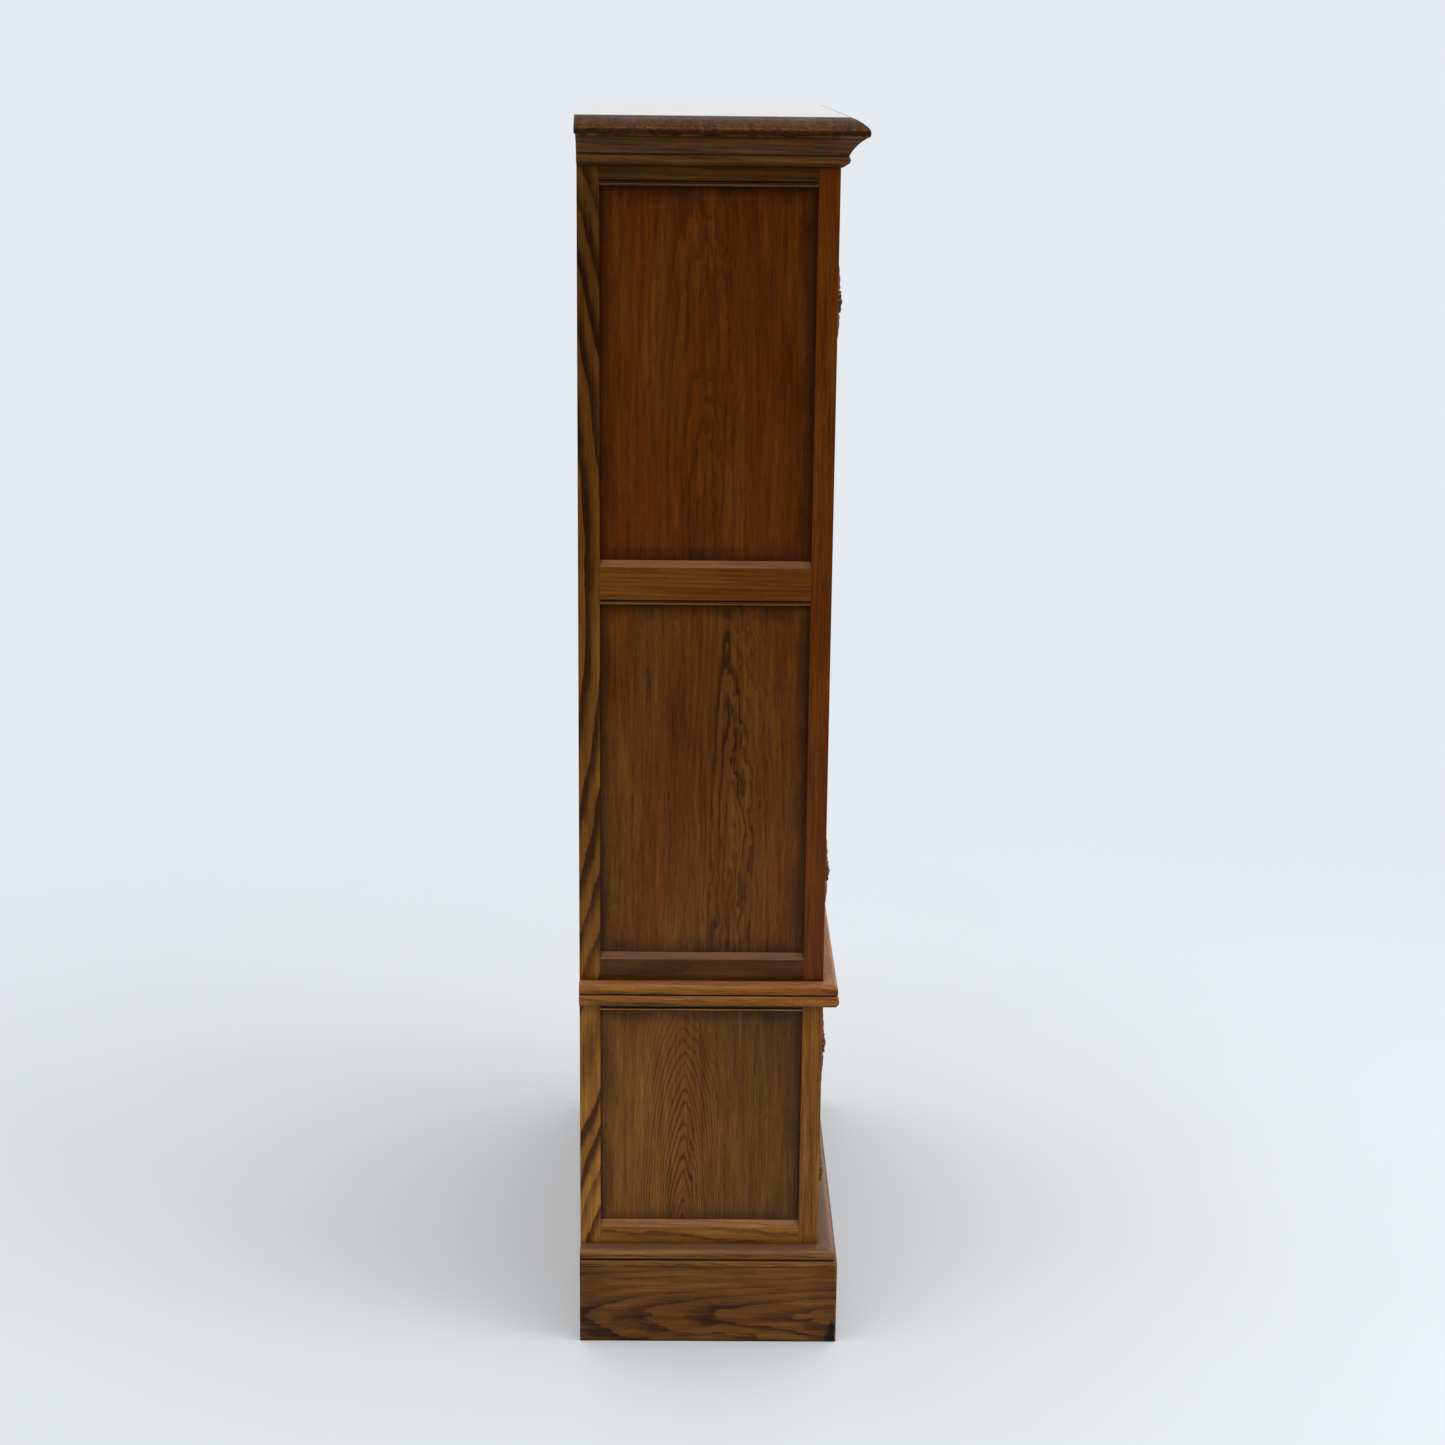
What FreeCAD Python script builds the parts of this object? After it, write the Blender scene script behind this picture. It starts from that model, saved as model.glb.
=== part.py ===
# Barrister bookcase in oak: a base stage with two drawers on a plinth, and an upper stage with four
# glazed doors that swing up and slide back over the books, under a cornice.
# Millimetres. +Z is up, -Y is the front, and X runs across the width.
# The origin is on the floor, under the middle of the bounding box.

import FreeCAD, Part
import os
import Sketcher

Vector = FreeCAD.Vector

doc = FreeCAD.newDocument("barrister_bookcase")
sheet = doc.addObject("Spreadsheet::Sheet", "sheet")

nodes = {}


# ---------------------------------------------------------------- sizes

class Size:
    """A length with its value in mm and the spreadsheet expression that gives it."""

    def __init__(self, text, value):
        self.text = text
        self.value = value

    def combine(self, sign, other, value):
        other_text = other.text if isinstance(other, Size) else repr(other)
        return Size(f"({self.text} {sign} {other_text})", value)

    def __add__(self, other):
        return self.combine("+", other, self.value + number(other))

    def __sub__(self, other):
        return self.combine("-", other, self.value - number(other))

    def __mul__(self, other):
        return self.combine("*", other, self.value * number(other))

    def __truediv__(self, other):
        return self.combine("/", other, self.value / number(other))

    def __neg__(self):
        return self * -1.0


def number(length):
    return length.value if isinstance(length, Size) else float(length)


aliases = []


def size(alias, value):
    """Puts one driving dimension in the spreadsheet and gives it back as a Size."""
    aliases.append(alias)
    row = len(aliases)
    sheet.set(f"A{row}", alias)
    sheet.set(f"B{row}", str(value))
    sheet.setAlias(f"B{row}", alias)
    return Size(f"sheet.{alias}", float(value))


zero = Size("0", 0.0)


# The case, and the height of each stage above the floor
case_width = size("case_width", 880)
case_depth = size("case_depth", 363)
total_height = size("total_height", 1830)
plinth_height = size("plinth_height", 125)
plinth_cap_top = size("plinth_cap_top", 150)
waist_bottom = size("waist_bottom", 543)
waist_top = size("waist_top", 577)
cornice_bottom = size("cornice_bottom", 1762)
top_board_thickness = size("top_board_thickness", 25)

# How far the mouldings stand out of the case
plinth_reach = size("plinth_reach", 29)
waist_reach = size("waist_reach", 23)
cornice_reach = size("cornice_reach", 38)
back_lip = size("back_lip", 2)

# The plinth's cap: a flat step, a quirk and a thumb-nail round
cap_step = size("cap_step", 8.5)
cap_step_round = size("cap_step_round", 2.5)
cap_quirk_depth = size("cap_quirk_depth", 3)
cap_quirk_height = size("cap_quirk_height", 2)
cap_nail_inset = size("cap_nail_inset", 3.5)
cap_nail_width = size("cap_nail_width", 10.5)
cap_slope = size("cap_slope", 1)

# The waist: two beads, the upper one starting this far above the foot of the moulding
waist_split = size("waist_split", 19)
waist_bead_inset = size("waist_bead_inset", 3)
waist_foot_inset = size("waist_foot_inset", 4)
waist_top_inset = size("waist_top_inset", 7)
waist_quirk = size("waist_quirk", 2)

# The cornice: an astragal, a fillet and a cove
cornice_foot_reach = size("cornice_foot_reach", 2)
astragal_neck = size("astragal_neck", 10)
astragal_bottom = size("astragal_bottom", 5.5)
astragal_top = size("astragal_top", 15)
cove_bottom = size("cove_bottom", 17.5)
cove_fillet = size("cove_fillet", 0.5)

# The top board's edge: a thumb-nail above a square lip
lip_height = size("lip_height", 12)
lip_round = size("lip_round", 2.5)
thumb_nail_step = size("thumb_nail_step", 9.5)
thumb_nail_round = size("thumb_nail_round", 12)

# Framed sides
post_width = size("post_width", 44)
front_stile = size("front_stile", 30)
back_stile = size("back_stile", 31)
frame_thickness = size("frame_thickness", 24)
panel_recess = size("panel_recess", 9)
panel_thickness = size("panel_thickness", 8)
panel_tongue = size("panel_tongue", 6)
bevel = size("bevel", 9)
bevel_depth = size("bevel_depth", 8)
bead = size("bead", 5)
quirk = size("quirk", 1.5)
base_rail_bottom = size("base_rail_bottom", 60)
base_panel_bottom = size("base_panel_bottom", 186)
base_panel_top = size("base_panel_top", 528)
lower_panel_bottom = size("lower_panel_bottom", 619)
lower_panel_top = size("lower_panel_top", 1147)
upper_panel_bottom = size("upper_panel_bottom", 1211)
upper_panel_top = size("upper_panel_top", 1735)

# Boards inside
board = size("board", 20)
back_board = size("back_board", 8)
back_inset = size("back_inset", 4)
bay_count = 4

# Doors
door_gap = size("door_gap", 2)
door_thickness = size("door_thickness", 20)
door_rail = size("door_rail", 34)
door_edge_round = size("door_edge_round", 4)
door_bevel = size("door_bevel", 3)
pin_from_top = size("pin_from_top", 20)
pin_from_face = size("pin_from_face", 11)
pin_radius = size("pin_radius", 3)
pin_reach = size("pin_reach", 10)
running_gap = size("running_gap", 0.05)
shoe_height = size("shoe_height", 8)
shoe_length = size("shoe_length", 10)
shoe_side_gap = size("shoe_side_gap", 0.1)
shoe_front_gap = size("shoe_front_gap", 0.5)
spigot_root = size("spigot_root", 2)
guide_depth = size("guide_depth", 10)
guide_height = size("guide_height", 36)
glass_thickness = size("glass_thickness", 3)
glass_tongue = size("glass_tongue", 6)
came_width = size("came_width", 6)
came_proud = size("came_proud", 1.5)
came_columns = 8
came_rows = 2
door_knob_length = size("door_knob_length", 14)
door_knob_radius = size("door_knob_radius", 8)

# Drawers
drawer_gap = size("drawer_gap", 1.5)
drawer_front = size("drawer_front", 20)
drawer_side = size("drawer_side", 12)
drawer_bottom = size("drawer_bottom", 6)
drawer_box_height = size("drawer_box_height", 150)
drawer_box_length = size("drawer_box_length", 318)
drawer_floor_rise = size("drawer_floor_rise", 4)
drawer_rear_drop = size("drawer_rear_drop", 10)
drawer_count = 2
drawer_guide_height = size("drawer_guide_height", 30)
drawer_knob_length = size("drawer_knob_length", 15)
drawer_knob_radius = size("drawer_knob_radius", 15)
knob_spacing = size("knob_spacing", 300)

# Carved motifs on the front posts
motif_length = size("motif_length", 110)
motif_width = size("motif_width", 36)
rosette_height = size("rosette_height", 7)
leaf_height = size("leaf_height", 3.5)
motif_heights = [
    size("motif_first", 261),
    size("motif_second", 471),
    size("motif_third", 743),
    size("motif_fourth", 1578),
]

# How far each arc rises, over half its chord
quarter_round = 0.41
thumb_nail = 0.5
astragal = 0.45
cove = -0.16
leaf_curve = 0.24
leaf_neck_curve = 0.1

# How far a cut runs past the face that it opens through
overcut = 1.0

# Used to pick out edges: how near counts as the same place, and the shortest long edge
nearby = 0.01
long_edge = 100.0

# Places that follow from the sizes above
front = (case_depth + back_lip - cornice_reach) / -2.0
back = front + case_depth
inner_back = back - back_inset - back_board
side = case_width / 2.0
frame_inside = side - frame_thickness
post_inside = side - post_width
post_back = front + front_stile
panel_outside = side - panel_recess
panel_inside = panel_outside - panel_thickness
top_board_bottom = total_height - top_board_thickness


# ---------------------------------------------------------------- helpers

def bind(item, path, length):
    """Ties a property to the spreadsheet, or sets it when the length is a plain number."""
    if isinstance(length, Size):
        item.setExpression(path, length.text)
    else:
        item.setExpression(path, repr(float(length)))


def slab(name, low, high):
    """A square-edged board between two opposite corners."""
    item = doc.addObject("Part::Box", name)
    for edge, start, end in zip(("Length", "Width", "Height"), low, high):
        bind(item, edge, end - start)
    for axis, start in zip("xyz", low):
        bind(item, f"Placement.Base.{axis}", start)
    return item


def new_body(name):
    return doc.addObject("PartDesign::Body", name)


def new_sketch(body, name, plane, offset):
    """A sketch on one of the body's own planes, moved along that plane's normal."""
    sketch = body.newObject("Sketcher::SketchObject", name)
    face = [item for item in body.Origin.OriginFeatures if item.Role == plane][0]
    sketch.AttachmentSupport = [(face, "")]
    sketch.MapMode = "FlatFace"
    bind(sketch, "AttachmentOffset.Base.z", offset)
    return sketch


def bulged(start, end, bulge):
    """An arc between two points; bulge is its rise over half its chord, positive to the right."""
    chord = end - start
    rise = Vector(chord.y, -chord.x, 0) * (bulge / 2.0)
    through = Part.Circle(start, (start + end) / 2.0 + rise, end)
    circle = Part.Circle(through.Center, Vector(0, 0, 1), through.Radius)
    first, last = (start, end) if bulge > 0 else (end, start)
    return Part.ArcOfCircle(circle, circle.parameter(first), circle.parameter(last))


def draw(sketch, points):
    """A closed outline. Each point is (across, up) or (across, up, bulge of the edge that follows)."""
    places = [Vector(number(point[0]), number(point[1]), 0) for point in points]
    ends = []
    for index, point in enumerate(points):
        start = places[index]
        end = places[(index + 1) % len(points)]
        bulge = point[2] if len(point) > 2 else 0.0
        curve = bulged(start, end, bulge) if bulge else Part.LineSegment(start, end)
        edge = sketch.addGeometry(curve, False)
        drawn = sketch.Geometry[edge]
        forwards = (drawn.StartPoint - start).Length < (drawn.EndPoint - start).Length
        ends.append((edge, 1, 2) if forwards else (edge, 2, 1))
        if bulge:
            sketch.addConstraint(Sketcher.Constraint("Radius", edge, curve.Radius))
    for index, (edge, _, last) in enumerate(ends):
        following, first, _ = ends[(index + 1) % len(ends)]
        sketch.addConstraint(Sketcher.Constraint("Coincident", edge, last, following, first))
    for (edge, first, _), point in zip(ends, points):
        for kind, length in (("DistanceX", point[0]), ("DistanceY", point[1])):
            rule = sketch.addConstraint(Sketcher.Constraint(kind, edge, first, number(length)))
            bind(sketch, f"Constraints[{rule}]", length)


def draw_circle(sketch, centre, radius):
    """A circle whose centre is (across, up)."""
    place = Vector(centre[0].value, centre[1].value, 0)
    circle = sketch.addGeometry(Part.Circle(place, Vector(0, 0, 1), radius.value), False)
    middle = (circle, 3)
    for kind, where, length in (("Radius", (circle,), radius),
                                ("DistanceX", middle, centre[0]),
                                ("DistanceY", middle, centre[1])):
        rule = sketch.addConstraint(Sketcher.Constraint(kind, *where, length.value))
        bind(sketch, f"Constraints[{rule}]", length)


def rectangle(low_x, low_y, high_x, high_y):
    return [(low_x, low_y), (high_x, low_y), (high_x, high_y), (low_x, high_y)]


def add(body, kind, name, plane, offset, outline, length, backwards=False, middle=False):
    """A Pad or a Pocket of an outline drawn on one of the body's planes."""
    sketch = new_sketch(body, f"{name}_sketch", plane, offset)
    draw(sketch, outline)
    feature = extrude(body, kind, name, sketch, length)
    feature.Reversed = backwards
    feature.Midplane = middle


def add_round(body, kind, name, plane, offset, centre, radius, length, backwards=False):
    """A round Pad or Pocket."""
    sketch = new_sketch(body, f"{name}_sketch", plane, offset)
    draw_circle(sketch, centre, radius)
    extrude(body, kind, name, sketch, length).Reversed = backwards


def extrude(body, kind, name, sketch, length):
    feature = body.newObject(f"PartDesign::{kind}", name)
    feature.Profile = sketch
    bind(feature, "Length", length)
    return feature


def spin(body, name, outline):
    """A turned shape: the outline is (radius, height) and goes round the body's Z axis."""
    sketch = new_sketch(body, f"{name}_sketch", "XZ_Plane", 0.0)
    draw(sketch, outline)
    feature = body.newObject("PartDesign::Revolution", name)
    feature.Profile = sketch
    feature.ReferenceAxis = (sketch, ["V_Axis"])
    feature.Angle = 360.0


def add_fillet(body, name, edges, radius):
    base = body.Tip
    fillet = body.newObject("PartDesign::Fillet", name)
    fillet.Base = (base, edges)
    bind(fillet, "Radius", radius)
    doc.recompute()


def mirror(item, name):
    """The same piece on the other side of the bookcase."""
    copy = doc.addObject("Part::Mirroring", name)
    copy.Source = item
    copy.Normal = Vector(1, 0, 0)
    copy.Base = Vector(0, 0, 0)
    return copy


def group(name, items):
    compound = doc.addObject("Part::Compound", name)
    compound.Links = items
    return keep(name, compound)


def both_sides(name, items):
    return group(name, items + [mirror(item, f"{item.Name}_other") for item in items])


def keep(name, item):
    """Names a finished sub-part; each one becomes a file."""
    item.Label = name
    nodes[name] = item
    return item


# ---------------------------------------------------------------- mouldings round three sides

def turned_outward(face, profile):
    """The profile set against a face of the case; bulges that swell outward stay that way."""
    return [(face - point[0], point[1], *[-bulge for bulge in point[2:]]) for point in profile]


def front_run(name, profile, reach):
    """A moulding across the front, mitred at both ends. The profile is (out of the case, height)."""
    body = new_body(name)
    outline = turned_outward(front, profile)
    length = case_width + reach * 2.0
    add(body, "Pad", f"{name}_run", "YZ_Plane", 0.0, outline, length, middle=True)
    for end, sign in (("left", -1.0), ("right", 1.0)):
        corner = side * sign
        tip = (side + reach + overcut) * sign
        mitre = [(corner, front), (tip, front - reach - overcut), (tip, front)]
        add(body, "Pocket", f"{name}_{end}_mitre", "XY_Plane", 0.0, mitre, total_height, backwards=True)
    return keep(name, body)


def side_runs(left_name, right_name, profile, reach, end):
    """The two lengths along the sides, mitred in front and square at the back."""
    body = new_body(left_name)
    outline = turned_outward(-side, profile)
    start = front - reach
    add(body, "Pad", f"{left_name}_run", "XZ_Plane", -start, outline, end - start, backwards=True)
    tip = front - reach - overcut
    mitre = [(-side, front), (-side - reach - overcut, tip), (-side, tip)]
    add(body, "Pocket", f"{left_name}_mitre", "XY_Plane", 0.0, mitre, total_height, backwards=True)
    keep(left_name, body)
    keep(right_name, mirror(body, right_name))


def ring(kind, profile, reach, end):
    front_run(f"{kind}_front", profile, reach)
    side_runs(f"{kind}_left", f"{kind}_right", profile, reach, end)


def plinth_board_profile():
    return rectangle(zero, zero, plinth_reach, plinth_height)


def plinth_cap_profile():
    """A flat lower step, a quirk, and a thumb-nail round that dies into the case."""
    step_top = plinth_height + cap_step
    step_edge = plinth_reach - cap_step_round
    quirk_floor = step_edge - cap_quirk_depth
    nail_foot = step_top + cap_quirk_height
    nail_edge = plinth_reach - cap_nail_inset
    return [
        (zero, plinth_height),
        (plinth_reach, plinth_height),
        (plinth_reach, step_top - cap_step_round, quarter_round),
        (step_edge, step_top),
        (quirk_floor, step_top),
        (quirk_floor, nail_foot),
        (nail_edge, nail_foot, thumb_nail),
        (nail_edge - cap_nail_width, plinth_cap_top - cap_slope),
        (zero, plinth_cap_top),
    ]


def waist_profile():
    """Two half-round beads with a quirk between them."""
    bead_edge = waist_reach - waist_bead_inset
    quirk_floor = bead_edge - waist_quirk
    middle = waist_bottom + waist_split
    return [
        (zero, waist_bottom),
        (waist_reach - waist_foot_inset, waist_bottom),
        (bead_edge, waist_bottom + waist_quirk, quarter_round),
        (bead_edge, middle - waist_quirk),
        (quirk_floor, middle - waist_quirk),
        (quirk_floor, middle),
        (bead_edge, middle, quarter_round),
        (waist_reach - waist_top_inset, waist_top),
        (zero, waist_top),
    ]


def cornice_profile():
    """An astragal at the foot and a cove that rises to the underside of the top board."""
    return [
        (zero, cornice_bottom),
        (cornice_foot_reach, cornice_bottom),
        (astragal_neck, cornice_bottom + astragal_bottom, astragal),
        (astragal_neck + cove_fillet, cornice_bottom + astragal_top),
        (astragal_neck + cove_fillet * 2.0, cornice_bottom + cove_bottom, cove),
        (cornice_reach - cove_fillet, top_board_bottom),
        (zero, top_board_bottom),
    ]


# ---------------------------------------------------------------- top board

def make_top_board():
    """One board whose edge is worked on the front and both ends: a thumb-nail over a square lip."""
    body = new_body("cornice_top_board")
    rear = back + back_lip
    lip_top = top_board_bottom + lip_height
    shoulder = cornice_reach - thumb_nail_step
    plate = rectangle(-side - cornice_reach, front - cornice_reach, side + cornice_reach, rear)
    add(body, "Pad", "top_lip", "XY_Plane", top_board_bottom, plate, lip_top - top_board_bottom)
    plate = rectangle(-side - shoulder, front - shoulder, side + shoulder, rear)
    add(body, "Pad", "top_field", "XY_Plane", lip_top, plate, total_height - lip_top)
    doc.recompute()
    round_over(body, "thumb_nail", total_height, thumb_nail_round, rear)
    round_over(body, "lip_edge", lip_top, lip_round, rear)
    keep("cornice_top_board", body)


def round_over(body, name, height, radius, rear):
    """Rounds the front and end edges that lie at one height, and leaves the back edge square."""
    chosen = []
    for index, edge in enumerate(body.Tip.Shape.Edges):
        box = edge.BoundBox
        level = box.ZMin > height.value - nearby and box.ZMax < height.value + nearby
        at_back = box.YMin > rear.value - nearby
        outermost = max(box.XLength, box.YLength) > long_edge
        inner_step = name == "lip_edge" and is_inner(box)
        if level and outermost and not at_back and not inner_step:
            chosen.append(f"Edge{index + 1}")
    add_fillet(body, name, chosen, radius)


def is_inner(box):
    """True for the line where the upper field meets the lip."""
    farthest = max(-box.XMin, box.XMax)
    along_front = box.XLength > long_edge and box.YMin > (front - cornice_reach).value + nearby
    along_end = box.YLength > long_edge and farthest < (side + cornice_reach).value - nearby
    return along_front or along_end


# ---------------------------------------------------------------- framed sides

def front_post(name, foot, top):
    """The upright in front, with a groove down its back edge for the panel."""
    body = new_body(name)
    add(body, "Pad", f"{name}_blank", "XY_Plane", foot,
        rectangle(-side, front, -post_inside, post_back), top - foot)
    groove = rectangle(-panel_outside, post_back - panel_tongue, -panel_inside, post_back)
    add(body, "Pocket", f"{name}_groove", "XY_Plane", foot, groove, top - foot, backwards=True)
    return body


def rear_stile(name, foot, top):
    """The upright behind, with a groove down its front edge for the panel."""
    body = new_body(name)
    edge = back - back_stile
    add(body, "Pad", f"{name}_blank", "XY_Plane", foot,
        rectangle(-side, edge, -frame_inside, back), top - foot)
    groove = rectangle(-panel_outside, edge, -panel_inside, edge + panel_tongue)
    add(body, "Pocket", f"{name}_groove", "XY_Plane", foot, groove, top - foot, backwards=True)
    return body


def rail_outline(bottom, top, beaded, bevelled, bottom_grooved, top_grooved):
    """A rail seen end on, from its outer face: bead below, bevel above, panel grooves in its edges."""
    outline = []
    if beaded:
        outline += [(-side + bead, bottom, -0.42), (-side, bottom + bead)]
        outline += [(-side + quirk, bottom + bead + quirk / 2.0), (-side, bottom + bead + quirk)]
    else:
        outline += [(-side, bottom)]
    if bevelled:
        outline += [(-side, top - bevel), (-side + bevel_depth, top)]
    else:
        outline += [(-side, top)]
    if top_grooved:
        outline += notch(top, top - panel_tongue)
    outline += [(-frame_inside, top), (-frame_inside, bottom)]
    if bottom_grooved:
        outline += notch(bottom, bottom + panel_tongue)[::-1]
    return outline


def notch(edge, depth):
    return [(-panel_outside, edge), (-panel_outside, depth), (-panel_inside, depth), (-panel_inside, edge)]


def rail(name, bottom, top, beaded=False, bevelled=False):
    """A rail between the stiles, with a stub tenon at each end that fills the stiles' grooves."""
    body = new_body(name)
    start = post_back
    end = back - back_stile
    outline = rail_outline(bottom, top, beaded, bevelled, beaded, bevelled)
    add(body, "Pad", f"{name}_blank", "XZ_Plane", -start, outline, end - start, backwards=True)
    tenon_bottom = bottom + panel_tongue if beaded else bottom
    tenon_top = top - panel_tongue if bevelled else top
    tenon = rectangle(-panel_outside, tenon_bottom, -panel_inside, tenon_top)
    tenon_start = start - panel_tongue
    tenon_end = end + panel_tongue
    tenon_length = tenon_end - tenon_start
    add(body, "Pad", f"{name}_tenons", "XZ_Plane", -tenon_start, tenon, tenon_length, backwards=True)
    return body


def panel(name, bottom, top):
    """A flat panel held in the grooves all round."""
    low = (-panel_outside, post_back - panel_tongue, bottom - panel_tongue)
    high = (-panel_inside, back - back_stile + panel_tongue, top + panel_tongue)
    return slab(name, low, high)


def make_base_sides():
    uprights = [
        front_post("base_front_post", zero, waist_top),
        rear_stile("base_back_stile", zero, waist_top),
    ]
    rails = [
        rail("base_bottom_rail", base_rail_bottom, base_panel_bottom, bevelled=True),
        rail("base_top_rail", base_panel_top, waist_top, beaded=True),
    ]
    both_sides("base_stiles", uprights)
    both_sides("base_side_rails", rails)
    both_sides("base_side_panels", [panel("base_panel", base_panel_bottom, base_panel_top)])


def make_upper_sides():
    post = front_post("upper_front_post", waist_top, cornice_bottom)
    slot_start = front + pin_from_face - shoe_length / 2.0
    for index in range(bay_count):
        add(post, "Pocket", f"post_slot_{index + 1}", "XZ_Plane", -slot_start, guide_slot(index), front_stile)
    rails = [
        rail("upper_bottom_rail", waist_top, lower_panel_bottom, bevelled=True),
        rail("upper_middle_rail", lower_panel_top, upper_panel_bottom, beaded=True, bevelled=True),
        rail("upper_top_rail", upper_panel_top, cornice_bottom, beaded=True),
    ]
    panels = [
        panel("lower_panel", lower_panel_bottom, lower_panel_top),
        panel("upper_panel", upper_panel_bottom, upper_panel_top),
    ]
    both_sides("upper_stiles", [post, rear_stile("upper_back_stile", waist_top, cornice_bottom)])
    both_sides("upper_side_rails", rails)
    both_sides("upper_side_panels", panels)


# ---------------------------------------------------------------- boards of the carcass

# Five boards divide the upper stage into four bays of one height
bay_height = (cornice_bottom - waist_top - board * float(bay_count + 1)) / float(bay_count)


def bay_bottom(index):
    return waist_top + board + (bay_height + board) * float(index)


def bay_top(index):
    return bay_bottom(index) + bay_height


def pin_height(index):
    return bay_top(index) - door_gap - pin_from_top


def notched_board(name, bottom, thickness):
    """A board the full depth of the case, notched round the two front posts."""
    outline = [
        (-post_inside, front),
        (post_inside, front),
        (post_inside, post_back),
        (frame_inside, post_back),
        (frame_inside, inner_back),
        (-frame_inside, inner_back),
        (-frame_inside, post_back),
        (-post_inside, post_back),
    ]
    body = new_body(name)
    add(body, "Pad", f"{name}_blank", "XY_Plane", bottom, outline, thickness)
    return body


def make_boards():
    keep("base_bottom_board", notched_board("base_bottom_board", plinth_cap_top, board))
    keep("drawer_divider", notched_board("drawer_divider", drawer_bay_bottom(1) - board, board))
    keep("base_top_board", slab("base_top_board", (-frame_inside, post_back, waist_top - board),
                                (frame_inside, inner_back, waist_top)))
    keep("base_top_front_rail", slab("base_top_front_rail", (-post_inside, front, waist_bottom),
                                     (post_inside, post_back, waist_top)))
    keep("upper_bottom_board", notched_board("upper_bottom_board", waist_top, board))
    keep("upper_top_board", notched_board("upper_top_board", cornice_bottom - board, board))
    shelves = [notched_board(f"shelf_{index + 1}", bay_top(index), board) for index in range(bay_count - 1)]
    group("fixed_shelves", shelves)
    for name, bottom, top in (("base_back_board", base_rail_bottom, waist_top),
                              ("upper_back_board", waist_top, cornice_bottom)):
        keep(name, slab(name, (-frame_inside, inner_back, bottom),
                        (frame_inside, inner_back + back_board, top)))


# ---------------------------------------------------------------- door guides, shoes and doors

def guide_slot(index):
    """The mouth of the groove that a door's shoe runs in."""
    half = shoe_height / 2.0 + running_gap
    low = pin_height(index) - half
    high = pin_height(index) + half
    return rectangle(-post_inside - guide_depth, low, -post_inside + overcut, high)


def make_guides():
    """A grooved strip high on each side of every bay, behind the post."""
    strips = []
    for index in range(bay_count):
        name = f"guide_{index + 1}"
        body = new_body(name)
        top = bay_top(index)
        blank = rectangle(-frame_inside, top - guide_height, -post_inside, top)
        length = inner_back - post_back
        add(body, "Pad", f"{name}_blank", "XZ_Plane", -post_back, blank, length, backwards=True)
        add(body, "Pocket", f"{name}_groove", "XZ_Plane", -post_back, guide_slot(index), length)
        strips.append(body)
    both_sides("door_guide_strips", strips)


def make_shoes(index):
    """A brass block in each guide, with the spigot that the door hangs from."""
    middle_y = front + pin_from_face
    middle_z = pin_height(index)
    name = f"shoe_{index + 1}"
    low = (
        -post_inside - guide_depth + running_gap,
        middle_y - shoe_length / 2.0 + shoe_front_gap,
        middle_z - shoe_height / 2.0,
    )
    high = (-post_inside - shoe_side_gap, middle_y + shoe_length / 2.0, middle_z + shoe_height / 2.0)
    spigot = doc.addObject("Part::Cylinder", f"{name}_spigot")
    bind(spigot, "Radius", pin_radius)
    bind(spigot, "Height", spigot_root + door_gap + pin_reach)
    spigot.Placement.Rotation = FreeCAD.Rotation(Vector(0, 1, 0), 90)
    bind(spigot, "Placement.Base.x", -post_inside - spigot_root)
    bind(spigot, "Placement.Base.y", middle_y)
    bind(spigot, "Placement.Base.z", middle_z)
    shoe = doc.addObject("Part::Fuse", name)
    shoe.Base = slab(f"{name}_block", low, high)
    shoe.Tool = spigot
    both_sides(f"door_{index + 1}_shoes", [shoe])


def door_box(index):
    low = (-post_inside + door_gap, front, bay_bottom(index) + door_gap)
    high = (post_inside - door_gap, front + door_thickness, bay_top(index) - door_gap)
    return low, high


def door_stile(index):
    """The left stile of a door, with the hole for the spigot and a groove for the glass."""
    low, high = door_box(index)
    name = f"door_{index + 1}_stile"
    body = new_body(name)
    outline = door_section(low[0], low[0] + door_rail, 1.0)
    add(body, "Pad", f"{name}_blank", "XY_Plane", low[2], outline, high[2] - low[2])
    centre = (front + pin_from_face, pin_height(index))
    add_round(body, "Pocket", f"{name}_hole", "YZ_Plane", low[0], centre, pin_radius + running_gap,
              pin_reach + overcut, backwards=True)
    round_top(body, name, high[2])
    return body


def door_section(outer, inner, sign):
    """A door member seen end on: a small bevel at the sight edge and a groove for the glass."""
    middle = front + door_thickness / 2.0
    slot = glass_thickness / 2.0
    return [
        (outer, front),
        (inner - door_bevel * sign, front),
        (inner, front + door_bevel),
        (inner, middle - slot),
        (inner - glass_tongue * sign, middle - slot),
        (inner - glass_tongue * sign, middle + slot),
        (inner, middle + slot),
        (inner, front + door_thickness),
        (outer, front + door_thickness),
    ]


def round_top(body, name, top):
    """Rounds the upper front edge, which has to clear the shelf as the door swings up."""
    doc.recompute()
    chosen = []
    for position, edge in enumerate(body.Tip.Shape.Edges):
        box = edge.BoundBox
        level = box.ZMin > top.value - nearby
        at_face = box.YMax < front.value + nearby
        if level and at_face:
            chosen.append(f"Edge{position + 1}")
    add_fillet(body, f"{name}_round", chosen, door_edge_round)


def door_cross_rail(index, name, outer, inner, sign):
    """A horizontal member between the stiles."""
    low, high = door_box(index)
    body = new_body(name)
    outline = door_section(outer, inner, sign)
    start = low[0] + door_rail
    end = high[0] - door_rail
    turned = [(depth, height) for height, depth in outline]
    add(body, "Pad", f"{name}_blank", "YZ_Plane", start, turned, end - start)
    return body


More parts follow.
